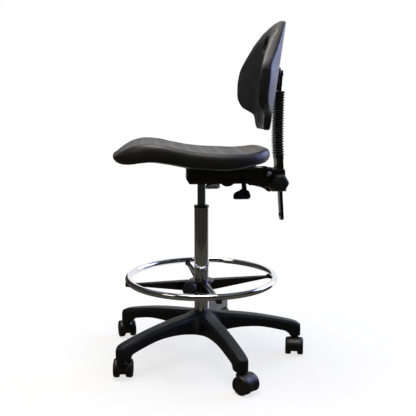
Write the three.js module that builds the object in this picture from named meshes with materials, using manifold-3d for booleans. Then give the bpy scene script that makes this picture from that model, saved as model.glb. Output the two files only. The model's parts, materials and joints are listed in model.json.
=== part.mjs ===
// Drafting chair: moulded seat and backrest on a gas lift, with a foot ring and a five-arm castor base.
// Millimetres, +Z up. The sitter faces -X, the sitter's right hand is +Y, and the wheels stand on z = FLOOR.
// Everything is drawn around the column's axis; the last lines move the model so that its bounding
// box stands on the origin.

import * as THREE from 'three';
import { mergeVertices } from 'three/addons/utils/BufferGeometryUtils.js';
import Module from 'manifold-3d';

const wasm = await Module();
wasm.setup();

// ---------------------------------------------------------------- driving dimensions

const GAP = 0.3;                 // clearance between pieces that only rest against each other
const RUN = 0.4;                 // radial clearance of plastic guides and plain bearings

const COLUMN_R = 25;             // outer tube of the gas lift
const COLUMN_WALL = 1.8;
const COLUMN_BOTTOM = 96;
const COLUMN_TOP = 533;
const LIFT_R = 14;               // pressure tube that slides in the column
const LIFT_WALL = 3;
const LIFT_BOTTOM = 180;
const LIFT_TAPER_START = 612;
const LIFT_TOP = 650;
const ROD_R = 5;                 // piston rod
const ROD_TOP = 552;
const PIN_R = 3;                 // release pin on top of the pressure tube

const FLOOR = 5;                 // height of the floor in this drawing
const BASE_RADIUS = 331;         // circle of the castor stems
const BASE_TURN = -2;            // degrees, how the base stands under the chair
const ARM_COUNT = 5;
const ARM_WALL = 4.5;
const ARM_END_R = 20;            // round end of an arm, over the castor's stem
const HUB_TOP = 170;
const HUB_R = 62;

const WHEEL_R = 29;
const WHEEL_WIDTH = 20;
const WHEEL_SPACE = 20;          // between the two wheels of a castor
const WHEEL_FACETS = 16;
const AXLE_R = 4;
const CASTOR_TRAIL = 18;
const HOOD_R = 32.5;
const HOOD_WALL = 2.2;
const STEM_R = 5.5;
const STEM_SEAT = 70;            // underside of an arm's end
const STEM_DEPTH = 38;
const CASTOR_HEADINGS = [256, 100, 100, 84, 311];

const RING_R = 252.8;            // centre line of the foot ring's tube
const RING_TUBE_R = 10.7;
const RING_Z = 288;
const RING_TURN = 6.5;
const RING_HUB_BOTTOM = 238;
const RING_HUB_TOP = 278;
const RING_HUB_R = 34;
const SPOKE_COUNT = 4;
const RING_KNOB_AZIMUTH = 229;

const HOUSING_FRONT = -47;       // pressed steel housing under the seat
const HOUSING_HALF = 36.5;
const HOUSING_TOP = 669;
const HOUSING_BOTTOM = 616;
const STEEL = 2.5;
const PIVOT = { x: 224, z: 648 };
const PIVOT_R = 5;
const LOCK = { x: 140, z: 626 };
const LOCK_R = 4;
const LINK_PIN = { x: 231, z: 603 };
const LINK_PIN_R = 3;
const LINK_OUT = 27;              // outer faces of the two lock plates
const TILT_RANGE = [-3, 20];     // degrees, positive is reclined
const SEAT_PLATE_T = 2.5;
const SEAT_PAN_T = 8.5;
const SEAT_BOLT_X = [-36, 150];
const SEAT_BOLT_Y = 62;

const BRACKET_T = 3;
const BAR_T = 10;                // flat steel upright
const BAR_W = 40;
const BAR_FOOT = { x: 278.8, z: 484 };
const BAR_LEAN = 3.95;           // degrees, the straight lower part leans forward
const BAR_BEND_Z = 750;
const BAR_TOP = { x: 268.5, z: 993 };
const STOP_Z = 503;              // a riveted stop keeps the bar in its sleeve
const SLEEVE_TOP = 709;
const SLEEVE_BOTTOM = 628;
const BELLOWS_TOP = 924;
const BELLOWS_T = 28;
const BELLOWS_W = 66;
const BELLOWS_RIBS = 25;
const CLAMP = { x: 259, z: 619 };

const BACK_CREASE = 103;         // the wings fold forward at this half width
const BACK_BOTTOM = 796;
const BACK_TOP = 1150;
const BACK_REAR_R = 407;

const SEAT_FRONT = -296;
const SEAT_REAR = 224;
const SEAT_HALF = 226;

const BLACK_STEEL = { color: 0x17181a, roughness: 0.42, metalness: 0.4 };
const ZINC = { color: 0xb9bcc0, roughness: 0.35, metalness: 0.9 };
const CHROME = { color: 0xd9dbde, roughness: 0.08, metalness: 1 };
const NYLON = { color: 0x242628, roughness: 0.55, metalness: 0 };
const SKIN = { color: 0x2c2c2f, roughness: 0.6, metalness: 0 };
const RUBBER = { color: 0x1e1f20, roughness: 0.8, metalness: 0 };

// ---------------------------------------------------------------- modelling helpers

const X = new THREE.Vector3(1, 0, 0);
const Y = new THREE.Vector3(0, 1, 0);
const Z = new THREE.Vector3(0, 0, 1);
const radians = (degrees) => (degrees * Math.PI) / 180;
const span = (count) => Array.from({ length: count }, (_, i) => i);
const mix = (a, b, t) => a + (b - a) * t;

// Piecewise cubic through [x, y] stations, without overshoot.
function curveThrough(stations) {
  const slope = (i) => (stations[i + 1][1] - stations[i][1]) / (stations[i + 1][0] - stations[i][0]);
  const tangent = stations.map((_, i) => {
    if (i === 0) return slope(0);
    if (i === stations.length - 1) return slope(i - 1);
    const [a, b] = [slope(i - 1), slope(i)];
    return a * b <= 0 ? 0 : (2 * a * b) / (a + b);
  });
  return (x) => {
    const last = stations.length - 2;
    let i = stations.findIndex(([s]) => x <= s) - 1;
    if (i < -1) i = last;
    i = Math.min(Math.max(i, 0), last);
    const h = stations[i + 1][0] - stations[i][0];
    const t = Math.min(Math.max((x - stations[i][0]) / h, 0), 1);
    const [p, q] = [stations[i][1], stations[i + 1][1]];
    return (
      p * (1 + 2 * t) * (1 - t) ** 2 + h * tangent[i] * t * (1 - t) ** 2 +
      q * t * t * (3 - 2 * t) + h * tangent[i + 1] * t * t * (t - 1)
    );
  };
}

// A closed mesh as a solid that can be cut and joined, with its faces turned outwards.
function solid(geometry) {
  const bare = geometry.clone();
  bare.deleteAttribute('normal');
  bare.deleteAttribute('uv');
  const merged = mergeVertices(bare);
  const vertProperties = Float32Array.from(merged.attributes.position.array);
  const triVerts = Uint32Array.from(merged.index.array);
  let volume = 0;
  const [a, b, c] = [new THREE.Vector3(), new THREE.Vector3(), new THREE.Vector3()];
  for (let i = 0; i < triVerts.length; i += 3) {
    a.fromArray(vertProperties, 3 * triVerts[i]);
    b.fromArray(vertProperties, 3 * triVerts[i + 1]);
    c.fromArray(vertProperties, 3 * triVerts[i + 2]);
    volume += a.dot(b.cross(c));
  }
  if (volume < 0) triVerts.reverse();
  return new wasm.Manifold(new wasm.Mesh({ numProp: 3, vertProperties, triVerts }));
}

function geometryOf(manifold) {
  const mesh = manifold.asOriginal().simplify(0.05).getMesh();
  const geometry = new THREE.BufferGeometry();
  geometry.setAttribute('position', new THREE.BufferAttribute(mesh.vertProperties, 3));
  geometry.setIndex(new THREE.BufferAttribute(mesh.triVerts, 1));
  return geometry;
}

const join = (...solids) => solids.reduce((all, next) => all.add(next));
const cut = (body, ...tools) => tools.reduce((rest, tool) => rest.subtract(tool), body);

// Corners are [x, y] or [x, y, fillet]; the outline turns each fillet in a few short steps.
function outline(corners, steps = 2) {
  const points = [];
  corners.forEach(([x, y, fillet = 0], i) => {
    const at = new THREE.Vector2(x, y);
    if (!fillet) {
      points.push(at);
      return;
    }
    const before = new THREE.Vector2(...corners.at(i - 1));
    const after = new THREE.Vector2(...corners[(i + 1) % corners.length]);
    const from = at.clone().add(before.sub(at).setLength(fillet));
    const to = at.clone().add(after.sub(at).setLength(fillet));
    points.push(...new THREE.QuadraticBezierCurve(from, at, to).getPoints(steps));
  });
  return points;
}

function circle(x, y, r, steps = 20) {
  return span(steps).map((i) => {
    const angle = (2 * Math.PI * (i + 0.5)) / steps;
    return new THREE.Vector2(x + r * Math.cos(angle), y + r * Math.sin(angle));
  });
}

// Extrudes an outline along an axis. Along z it is drawn in (x, y), along y in (x, z), along x in (y, z).
function prism(points, axis, from, to) {
  const geometry = new THREE.ExtrudeGeometry(new THREE.Shape(points), { depth: to - from, bevelEnabled: false });
  const place = new THREE.Matrix4();
  if (axis === 'y') place.makeBasis(X, Z, Y.clone().negate()).setPosition(0, to, 0);
  else if (axis === 'x') place.makeBasis(Y, Z, X).setPosition(from, 0, 0);
  else place.setPosition(0, 0, from);
  return solid(geometry.applyMatrix4(place));
}

function box(size, centre) {
  return solid(new THREE.BoxGeometry(...size).translate(...centre));
}

// A round bar between two points.
function bar(from, to, r, steps = 16) {
  const a = new THREE.Vector3(...from);
  const b = new THREE.Vector3(...to);
  const turn = new THREE.Quaternion().setFromUnitVectors(Y, b.clone().sub(a).normalize());
  const middle = a.clone().lerp(b, 0.5);
  const geometry = new THREE.CylinderGeometry(r, r, a.distanceTo(b), steps);
  return solid(geometry.applyQuaternion(turn).translate(...middle));
}

// Turns a profile of [radius, height] about an axis through a point.
function turned(profile, axis = Z, at = [0, 0, 0], steps = 24) {
  const points = profile.map(([r, h]) => new THREE.Vector2(r, h));
  if (profile.every(([r]) => r > 0)) points.push(points[0].clone());
  const geometry = new THREE.LatheGeometry(points, steps);
  geometry.rotateY(Math.PI / steps);
  return solid(geometry.applyQuaternion(new THREE.Quaternion().setFromUnitVectors(Y, axis)).translate(...at));
}

// Joins closed loops of equal point count into one skin and closes both ends.
function loft(loops) {
  const count = loops[0].length;
  const middle = (loop) => loop.reduce((sum, p) => sum.add(new THREE.Vector3(...p)), new THREE.Vector3())
    .divideScalar(count).toArray();
  const positions = [...loops.flat(), middle(loops[0]), middle(loops.at(-1))];
  const index = [];
  const first = loops.length * count;
  for (let i = 0; i < count; i += 1) {
    const j = (i + 1) % count;
    for (let row = 0; row < loops.length - 1; row += 1) {
      const [a, b] = [row * count + i, row * count + j];
      index.push(a, b, b + count, a, b + count, a + count);
    }
    index.push(first, j, i);
    index.push(first + 1, first - count + i, first - count + j);
  }
  const geometry = new THREE.BufferGeometry();
  geometry.setAttribute('position', new THREE.Float32BufferAttribute(positions.flat(), 3));
  geometry.setIndex(index);
  return solid(geometry);
}

// A hose of constant section along a path, as bent round bar.
function bentBar(points, r, sides = 8, steps = 12) {
  const path = new THREE.CatmullRomCurve3(points.map((p) => new THREE.Vector3(...p)), false, 'catmullrom', 0.3);
  const section = new THREE.Shape(circle(0, 0, r, sides));
  return solid(new THREE.ExtrudeGeometry(section, { steps, extrudePath: path }));
}

const about = (angle, manifold) => manifold.rotate([0, 0, angle]);

// ---------------------------------------------------------------- the model and its nodes

const chair = new THREE.Group();

function add(name, manifold, finish, group = chair) {
  const mesh = new THREE.Mesh(geometryOf(manifold), new THREE.MeshStandardMaterial(finish));
  mesh.name = name;
  group.add(mesh);
  return mesh;
}

// ---------------------------------------------------------------- five-arm base

// Height of an arm's top and underside, and its half width, along its length.
const armTop = curveThrough([[20, 168], [60, 162], [120, 158], [184, 151], [262, 137], [320, 123], [342, 115], [352, 104]]);
const armUnder = curveThrough([[20, 102], [81, 107], [158, 114], [211, 112], [262, 100], [300, 89], [352, 86]]);
const armHalf = curveThrough([[20, 31], [120, 27], [240, 23.5], [BASE_RADIUS, ARM_END_R]]);

function armSection(r, inset) {
  const [top, under, half] = [armTop(r) - inset, armUnder(r), armHalf(r) - inset];
  const right = [[half * 0.96, under], [half, top - 15], [half * 0.82, top - 5], [half * 0.42, top]];
  return [...right, ...right.toReversed().map(([y, z]) => [-y, z])].map(([y, z]) => [r, y, z]);
}

// The arm's end is round in plan, on a round boss that takes the stem.
function baseArm() {
  const loops = [20, 100, 184, 262, 300, BASE_RADIUS].map((r) => armSection(r, 0));
  const nose = [0.5, 0.86].map((share) => {
    const narrow = Math.sqrt(1 - share * share);
    return armSection(BASE_RADIUS + share * ARM_END_R, 0).map(([r, y, z]) => [r, y * narrow, z]);
  });
  const boss = bar([BASE_RADIUS, 0, STEM_SEAT], [BASE_RADIUS, 0, STEM_SEAT + STEM_DEPTH + 4], ARM_END_R, 12);
  return join(loft([...loops, ...nose]), boss);
}

// The hollow of an arm's underside, less the keel and the ribs that stiffen it.
function armHollow() {
  const loops = [20, 100, 184, 262, BASE_RADIUS - ARM_END_R - 3].map((r) => {
    const [top, half] = [armTop(r) - ARM_WALL, armHalf(r) - ARM_WALL];
    return [[half * 0.96, 60], [half, top - 14], [half * 0.6, top], [-half * 0.6, top], [-half, top - 14],
      [-half * 0.96, 60]].map(([y, z]) => [r, y, z]);
  });
  const ribs = [150, 225].map((r) => box([ARM_WALL - 1, 80, 90], [r, 0, 125]));
  const keel = box([300, ARM_WALL - 1, 100], [190, 0, 130]);
  return cut(loft(loops), keel, ...ribs);
}

function castorBase() {
  const arms = span(ARM_COUNT).map((i) => (360 / ARM_COUNT) * i);
  const skirt = turned([[0, 103], [HUB_R - 3, 103], [HUB_R, 112], [HUB_R - 6, 140], [46, 157], [37, 167],
    [33.5, HUB_TOP], [0, HUB_TOP]], Z, [0, 0, 0], 20);
  const hollow = turned([[33, 90], [HUB_R - 8, 90], [HUB_R - 9, 120], [HUB_R - 16, 140], [33, 150]], Z, [0, 0, 0], 20);
  const bore = bar([0, 0, 90], [0, 0, 180], COLUMN_R + GAP, 24);
  const webs = arms.map((angle) => about(angle + 180 / ARM_COUNT, box([34, ARM_WALL, 60], [46, 0, 130])));
  const outside = join(skirt, ...arms.map((angle) => about(angle, baseArm())));
  const inside = cut(join(hollow, ...arms.map((angle) => about(angle, armHollow()))),
    bar([0, 0, 80], [0, 0, 180], 33, 20), ...webs);
  const sockets = arms.map((angle) => about(angle, bar([BASE_RADIUS, 0, 60],
    [BASE_RADIUS, 0, STEM_SEAT + STEM_DEPTH], STEM_R + RUN, 10)));
  return cut(outside, inside, bore, ...sockets);
}

const undercarriage = new THREE.Group();
undercarriage.rotation.z = radians(BASE_TURN);
chair.add(undercarriage);
add('base', castorBase(), NYLON, undercarriage);

// ---------------------------------------------------------------- castors

// Drawn at the origin with the stem on the z axis and the axle CASTOR_TRAIL towards +x.
const AXLE = [CASTOR_TRAIL, 0, FLOOR + WHEEL_R];
const CASTOR_HALF = WHEEL_SPACE / 2 + WHEEL_WIDTH;

// The lowest facet of the tread is level, so a wheel rests flat on the floor.
function castorWheel(side) {
  const w = WHEEL_WIDTH;
  const rim = WHEEL_R / Math.cos(Math.PI / WHEEL_FACETS);
  const profile = [[0, w - 2.5], [20, w - 2.5], [23.5, w], [rim, w - 5], [rim, 1], [AXLE_R + RUN, 0],
    [AXLE_R + RUN, w - 6], [0, w - 6]];
  const axis = side > 0 ? Y : Y.clone().negate();
  return turned(profile, axis, [AXLE[0], side * (WHEEL_SPACE / 2 + GAP), AXLE[2]], WHEEL_FACETS);
}

// The hood covers both treads down to a straight lower edge; a web between the wheels holds the axle.
function castorHood() {
  const [x, , z] = AXLE;
  const half = CASTOR_HALF - 2;
  const shell = bar([x, -half, z], [x, half, z], HOOD_R, WHEEL_FACETS);
  const room = (side) => bar([x, side * (WHEEL_SPACE / 2), z], [x, side * (half + 2), z], HOOD_R - HOOD_WALL, WHEEL_FACETS);
  const below = box([100, 100, 40], [x, 0, FLOOR + 13 - 20]);
  const collar = WHEEL_SPACE / 2 + 3;
  const neck = turned([[0, 36], [collar - 3.4, 36], [collar - 3.4, z + HOOD_R - 6.5], [collar, z + HOOD_R - 3],
    [collar, STEM_SEAT - 2.5], [0, STEM_SEAT - 2.5]], Z, [0, 0, 0], 10);
  const axleBore = bar([x, -20, z], [x, 20, z], AXLE_R + GAP, 8);
  const stemBore = bar([0, 0, STEM_SEAT - 34], [0, 0, 90], STEM_R + RUN, 10);
  return cut(join(cut(shell, room(1), room(-1)), neck), below, axleBore, stemBore);
}

function castorStem() {
  const top = STEM_SEAT + STEM_DEPTH - 3;
  const profile = [[0, STEM_SEAT - 33], [STEM_R, STEM_SEAT - 33], [STEM_R, STEM_SEAT - 2.2], [8, STEM_SEAT - 2.2],
    [8, STEM_SEAT - GAP], [STEM_R, STEM_SEAT - GAP], [STEM_R, top], [0, top]];
  return turned(profile, Z, [0, 0, 0], 10);
}

span(ARM_COUNT).forEach((i) => {
  const azimuth = (360 / ARM_COUNT) * i + BASE_TURN;
  const castor = new THREE.Group();
  castor.position.set(BASE_RADIUS * Math.cos(radians(azimuth)), BASE_RADIUS * Math.sin(radians(azimuth)), 0);
  castor.rotation.z = radians(CASTOR_HEADINGS[i]);
  chair.add(castor);
  const number = i + 1;
  const axleHalf = WHEEL_SPACE / 2 + WHEEL_WIDTH - 6.5;
  add(`castor_${number}_stem`, castorStem(), ZINC, castor);
  add(`castor_${number}_hood`, castorHood(), NYLON, castor);
  add(`castor_${number}_axle`, bar([AXLE[0], -axleHalf, AXLE[2]], [AXLE[0], axleHalf, AXLE[2]], AXLE_R, 8), ZINC, castor);
  add(`castor_${number}_wheel_left`, castorWheel(-1), NYLON, castor);
  add(`castor_${number}_wheel_right`, castorWheel(1), NYLON, castor);
});

// ---------------------------------------------------------------- gas lift

const columnInner = COLUMN_R - COLUMN_WALL;
const liftInner = LIFT_R - LIFT_WALL;

add('column_tube', turned([[ROD_R + GAP, COLUMN_BOTTOM], [COLUMN_R, COLUMN_BOTTOM], [COLUMN_R, COLUMN_TOP],
  [columnInner, COLUMN_TOP], [columnInner, COLUMN_BOTTOM + 4], [ROD_R + GAP, COLUMN_BOTTOM + 4]], Z, [0, 0, 0], 26), CHROME);

add('column_bush', turned([[LIFT_R + RUN, COLUMN_TOP - 110], [columnInner - GAP, COLUMN_TOP - 110],
  [columnInner - GAP, COLUMN_TOP + GAP], [COLUMN_R + 1, COLUMN_TOP + GAP], [COLUMN_R + 1, COLUMN_TOP + 5],
  [COLUMN_R - 2, COLUMN_TOP + 8], [LIFT_R + RUN, COLUMN_TOP + 8]], Z, [0, 0, 0], 24), NYLON);

add('gas_tube', turned([[liftInner, LIFT_BOTTOM], [LIFT_R, LIFT_BOTTOM], [LIFT_R, LIFT_TAPER_START],
  [LIFT_R - 0.7, LIFT_TOP - 2], [LIFT_R - 2.5, LIFT_TOP], [PIN_R + GAP, LIFT_TOP],
  [PIN_R + GAP, LIFT_TOP - 15], [liftInner, LIFT_TOP - 18]], Z, [0, 0, 0], 22), CHROME);

add('piston_rod', turned([[0, COLUMN_BOTTOM - 9], [ROD_R, COLUMN_BOTTOM - 9], [ROD_R, ROD_TOP - 14],
  [liftInner - RUN, ROD_TOP - 14], [liftInner - RUN, ROD_TOP], [0, ROD_TOP]], Z, [0, 0, 0], 18), ZINC);

const ring = (inner, outer, low, high, steps) => turned([[inner, low], [outer, low], [outer, high], [inner, high]],
  Z, [0, 0, 0], steps);
const plateTop = COLUMN_BOTTOM + 4;
add('rod_clip', ring(ROD_R + GAP, 11, COLUMN_BOTTOM - 4, COLUMN_BOTTOM - GAP, 14), ZINC);
add('thrust_bearing', ring(ROD_R + GAP, 16, plateTop + GAP, plateTop + 8, 18), ZINC);

add('release_pin', turned([[0, LIFT_TOP - 12], [PIN_R, LIFT_TOP - 12], [PIN_R, LIFT_TOP + 6], [PIN_R - 1, LIFT_TOP + 7],
  [0, LIFT_TOP + 7]], Z, [0, 0, 0], 12), ZINC);

// ---------------------------------------------------------------- foot ring

const ringGroup = new THREE.Group();
ringGroup.rotation.z = radians(RING_TURN);
chair.add(ringGroup);

function ringTube(r, around, along) {
  const torus = new THREE.TorusGeometry(RING_R, r, around, along);
  return solid(torus.translate(0, 0, RING_Z));
}

add('foot_ring', ringTube(RING_TUBE_R, 8, 40), CHROME, ringGroup);

const RING_BUSH_R = COLUMN_R + 3;
add('ring_bush', cut(turned([[COLUMN_R + RUN, RING_HUB_BOTTOM + 1], [RING_BUSH_R, RING_HUB_BOTTOM + 1],
  [RING_BUSH_R, RING_HUB_TOP - 3], [COLUMN_R + RUN, RING_HUB_TOP - 3]], Z, [0, 0, 0], 24),
box([20, 3, 60], [-COLUMN_R, 0, 258])), NYLON, ringGroup);

// A spoke is a T section: a tapered web under a flat flange, with a saddle under the ring at its end.
function spoke() {
  const root = RING_HUB_BOTTOM + 3;
  const tip = RING_Z - RING_TUBE_R - 8;
  const web = prism(outline([[RING_HUB_R - 4, root], [RING_HUB_R + 12, root], [RING_R - 16, tip, 8], [RING_R + 11, tip, 3],
    [RING_R + 12, RING_Z - 6], [RING_R - 14, RING_Z - 4], [RING_R - 20, RING_HUB_TOP], [RING_HUB_R - 4, RING_HUB_TOP]]),
  'y', -3.5, 3.5);
  const flange = prism(outline([[RING_HUB_R - 4, -14], [RING_R - 14, -8.5], [RING_R - 14, 8.5], [RING_HUB_R - 4, 14]]),
    'z', RING_HUB_TOP - 4, RING_HUB_TOP);
  const foot = box([24, 17, 13], [RING_R - 0.5, 0, RING_Z - RING_TUBE_R - 1.5]);
  return join(web, flange, foot);
}

function ringHub() {
  const spokes = span(SPOKE_COUNT).map((i) => about((360 / SPOKE_COUNT) * i, spoke()));
  const core = turned([[0, RING_HUB_BOTTOM], [RING_HUB_R, RING_HUB_BOTTOM], [RING_HUB_R + 1, RING_HUB_TOP - 8],
    [RING_HUB_R + 9, RING_HUB_TOP - 4], [RING_HUB_R + 9, RING_HUB_TOP], [RING_HUB_R, RING_HUB_TOP + 2],
    [0, RING_HUB_TOP + 2]], Z, [0, 0, 0], 24);
  const lift = (RING_HUB_BOTTOM + RING_HUB_TOP) / 2;
  const boss = about(RING_KNOB_AZIMUTH - RING_TURN, bar([RING_HUB_R - 6, 0, lift], [RING_HUB_R + 15, 0, lift], 13, 14));
  const stud = about(RING_KNOB_AZIMUTH - RING_TURN, bar([10, 0, lift], [80, 0, lift], 5 + GAP, 12));
  const bore = bar([0, 0, 200], [0, 0, 300], RING_BUSH_R + RUN, 24);
  const lip = bar([0, 0, RING_HUB_TOP - 3 + GAP], [0, 0, 300], COLUMN_R + RUN, 24);
  const full = join(core, boss, ...spokes);
  const cap = join(bar([0, 0, 200], [0, 0, RING_HUB_TOP - 3 + GAP], RING_BUSH_R + RUN, 24), lip);
  return { full, cap, bore, stud };
}

const hubParts = ringHub();
const seatedTube = ringTube(RING_TUBE_R + GAP, 8, 40);
add('ring_hub', cut(hubParts.full, hubParts.cap, hubParts.stud, seatedTube), NYLON, ringGroup);

// A round clamp knob with flutes, on a stud along +x from the axis.
function clampKnob({ radius, depth, lobes, stud, studR, start }) {
  const points = span(lobes * 4).map((i) => {
    const angle = (2 * Math.PI * i) / (lobes * 4);
    const r = radius - 2.2 * (1 - Math.cos(lobes * angle)) / 2;
    return [r * Math.cos(angle), r * Math.sin(angle)];
  });
  const slice = (x, scale) => points.map(([y, z]) => [x, y * scale, z * scale]);
  const grip = loft([slice(start, 0.8), slice(start + 4, 1), slice(start + depth * 0.7, 0.97),
    slice(start + depth * 0.9, 0.84), slice(start + depth, 0.6)]);
  return join(grip, bar([stud, 0, 0], [start + 4, 0, 0], studR, 12));
}

const ringKnob = new THREE.Group();
ringKnob.position.z = (RING_HUB_BOTTOM + RING_HUB_TOP) / 2;
ringKnob.rotation.z = radians(RING_KNOB_AZIMUTH);
chair.add(ringKnob);
add('ring_knob', clampKnob({ radius: 27.5, depth: 34, lobes: 8, stud: RING_BUSH_R + RUN + GAP, studR: 5,
  start: RING_HUB_R + 19 }), NYLON, ringKnob);

// ---------------------------------------------------------------- housing under the seat

// Side view of one pressed side plate: notched at the front, a round swell at the spacer, a lug at the rear.
const SPACER = { x: 84, z: 626 };
function sidePlate(low, high) {
  const plate = prism(outline([[HOUSING_FRONT + 17, HOUSING_TOP], [HOUSING_FRONT + 17, HOUSING_TOP - 12, 8],
    [HOUSING_FRONT, HOUSING_BOTTOM + 27, 2], [HOUSING_FRONT, HOUSING_BOTTOM + 13, 3], [HOUSING_FRONT + 9, HOUSING_BOTTOM, 3],
    [152, HOUSING_BOTTOM, 3], [158, HOUSING_BOTTOM - 6, 3], [194, HOUSING_BOTTOM - 6, 6], [222, HOUSING_BOTTOM - 28, 4],
    [235, HOUSING_BOTTOM - 28, 4], [238, PIVOT.z - 18, 6], [242, PIVOT.z + 6, 6], [236, HOUSING_TOP - 3, 5],
    [205, HOUSING_TOP]]), 'y', low, high);
  const swell = bar([SPACER.x, low, SPACER.z], [SPACER.x, high, SPACER.z], 16, 16);
  return join(plate, swell);
}

// Where the bracket's link pin stands when the back is reclined by some degrees.
function pinAt(tilt) {
  const [dx, dz] = [LINK_PIN.x - PIVOT.x, LINK_PIN.z - PIVOT.z];
  const [c, s] = [Math.cos(radians(tilt)), Math.sin(radians(tilt))];
  return { x: PIVOT.x + dx * c + dz * s, z: PIVOT.z - dx * s + dz * c };
}

function housing() {
  const plates = [-1, 1].map((side) => sidePlate(...[side * HOUSING_HALF, side * (HOUSING_HALF - STEEL)]
    .sort((a, b) => a - b)));
  const roof = prism(outline([[HOUSING_FRONT, -HOUSING_HALF], [205, -HOUSING_HALF], [205, HOUSING_HALF],
    [HOUSING_FRONT, HOUSING_HALF]]), 'z', HOUSING_TOP - STEEL, HOUSING_TOP);
  const nose = prism(outline([[-HOUSING_HALF, HOUSING_BOTTOM + 13], [HOUSING_HALF, HOUSING_BOTTOM + 13],
    [HOUSING_HALF, HOUSING_BOTTOM + 27], [HOUSING_HALF - 10, HOUSING_TOP], [-HOUSING_HALF + 10, HOUSING_TOP],
    [-HOUSING_HALF, HOUSING_BOTTOM + 27]]), 'x', HOUSING_FRONT, HOUSING_FRONT + STEEL);
  const across = (x, z, r) => bar([x, -60, z], [x, 60, z], r, 14);
  const pinReach = Math.hypot(LINK_PIN.x - PIVOT.x, LINK_PIN.z - PIVOT.z);
  const slotSide = (offset) => span(6).map((i) => {
    const { x, z } = pinAt(mix(TILT_RANGE[0] - 5, TILT_RANGE[1] + 5, i / 5));
    return new THREE.Vector2(PIVOT.x, PIVOT.z).lerp(new THREE.Vector2(x, z), 1 + offset / pinReach);
  });
  const slotHalf = LINK_PIN_R + 0.9;
  const arcSlot = prism([...slotSide(slotHalf), ...slotSide(-slotHalf).reverse()], 'y', -60, 60);
  const leverSlot = box([16, 20, 15], [0, HOUSING_HALF, HOUSING_TOP - 11]);
  const pinHole = bar([0, 0, HOUSING_TOP - 10], [0, 0, HOUSING_TOP + 10], 6, 16);
  return cut(join(...plates, roof, nose), across(PIVOT.x, PIVOT.z, PIVOT_R + GAP),
    across(LOCK.x, LOCK.z, LOCK_R + GAP), across(SPACER.x, SPACER.z, 4 + GAP), arcSlot, leverSlot, pinHole);
}
add('housing', housing(), BLACK_STEEL);

const socketBottom = HOUSING_BOTTOM - 2;
// The socket is turned and welded into a cross plate between the side plates.
function taperSocket() {
  const socket = turned([[0, socketBottom], [LIFT_R + 6, socketBottom], [LIFT_R + 5, LIFT_TOP - 8], [0, LIFT_TOP - 8]],
    Z, [0, 0, 0], 20);
  const reach = HOUSING_HALF - STEEL - GAP;
  const bridge = prism(outline([[-26, -reach], [26, -reach], [26, reach], [-26, reach]]), 'z', HOUSING_BOTTOM + 4,
    HOUSING_BOTTOM + 8);
  const bore = turned([[0, LIFT_TAPER_START - 20], [LIFT_R + GAP, LIFT_TAPER_START - 20],
    [LIFT_R + GAP, LIFT_TAPER_START], [LIFT_R - 0.7 + GAP, LIFT_TOP + 5], [0, LIFT_TOP + 5]], Z, [0, 0, 0], 20);
  return cut(join(socket, bridge), bore);
}
add('taper_socket', taperSocket(), BLACK_STEEL);

add('housing_spacer', join(bar([SPACER.x, -HOUSING_HALF - 2, SPACER.z], [SPACER.x, HOUSING_HALF + 2, SPACER.z], 4, 14),
  bar([SPACER.x, -HOUSING_HALF + STEEL + GAP, SPACER.z], [SPACER.x, HOUSING_HALF - STEEL - GAP, SPACER.z], 7, 14)), ZINC);

// ---------------------------------------------------------------- seat plate, pan and bolts

const seatPlateTop = HOUSING_TOP + SEAT_PLATE_T;
const panTop = seatPlateTop + SEAT_PAN_T;
const seatBoltPlaces = SEAT_BOLT_X.flatMap((x) => [-1, 1].map((side) => [x, side * SEAT_BOLT_Y]));

// The plate is welded on the housing; its four bolts go up into the pan.
function seatPlate() {
  const [front, rear] = SEAT_BOLT_X;
  const ear = SEAT_BOLT_Y + 18;
  const corners = [[front - 20, -ear, 12], [front + 18, -ear, 12], [front + 38, -50, 10], [rear - 38, -50, 10],
    [rear - 18, -ear, 12], [rear + 20, -ear, 12]];
  const plate = prism(outline([...corners, ...corners.toReversed().map(([x, y, fillet]) => [x, -y, fillet])], 2), 'z',
    HOUSING_TOP, seatPlateTop);
  const bolts = seatBoltPlaces.map(([x, y]) => turned([[0, HOUSING_TOP - 7.3], [6.8, HOUSING_TOP - 7.3],
    [7.2, HOUSING_TOP - 2], [10, HOUSING_TOP - 2], [10, HOUSING_TOP + 1], [4, HOUSING_TOP + 1],
    [4, panTop - 3], [0, panTop - 3]], Z, [x, y, 0], 8));
  return join(plate, ...bolts);
}

const seatPan = prism(outline([[-60, -100, 40], [-60, 100, 40], [176, 104, 40], [176, -104, 40]], 4), 'z', seatPlateTop, panTop);
add('seat_plate', seatPlate(), BLACK_STEEL);
add('seat_pan', cut(seatPan, ...seatBoltPlaces.map(([x, y]) => bar([x, y, 600], [x, y, panTop - 2], 4 + GAP, 12))), NYLON);


// ---------------------------------------------------------------- seat

const seatTopLine = curveThrough([[-296, 706], [-288, 722], [-262, 741], [-222, 757], [-187, 762], [-146, 759], [-90, 747],
  [-25, 735], [50, 729], [117, 727], [160, 730], [196, 738], [212, 737], [224, 727]]);
const seatUnderLine = curveThrough([[-296, 706], [-280, 704], [-259, 702], [-237, 702], [-202, 706], [-168, 707],
  [-129, 703], [-90, 696], [-59, 689], [0, 682], [58, 679], [102, 682], [141, 688], [190, 693], [224, 696]]);

// Points of the seat's outline seen from above, from the front round to the rear, right side.
function seatOutline(count) {
  const length = SEAT_REAR - SEAT_FRONT;
  const middle = (SEAT_REAR + SEAT_FRONT) / 2;
  return span(count).map((i) => {
    const angle = (2 * Math.PI * (i + 0.5)) / count;
    const [c, s] = [Math.cos(angle), Math.sin(angle)];
    const power = c < 0 ? 2 / 3.4 : 2 / 2.9;
    const x = middle + (length / 2) * Math.sign(c) * Math.abs(c) ** power;
    const y = SEAT_HALF * Math.sign(s) * Math.abs(s) ** power;
    return [x, y * (1 - 0.05 * ((x - middle) / length + 0.5))];
  });
}

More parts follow.
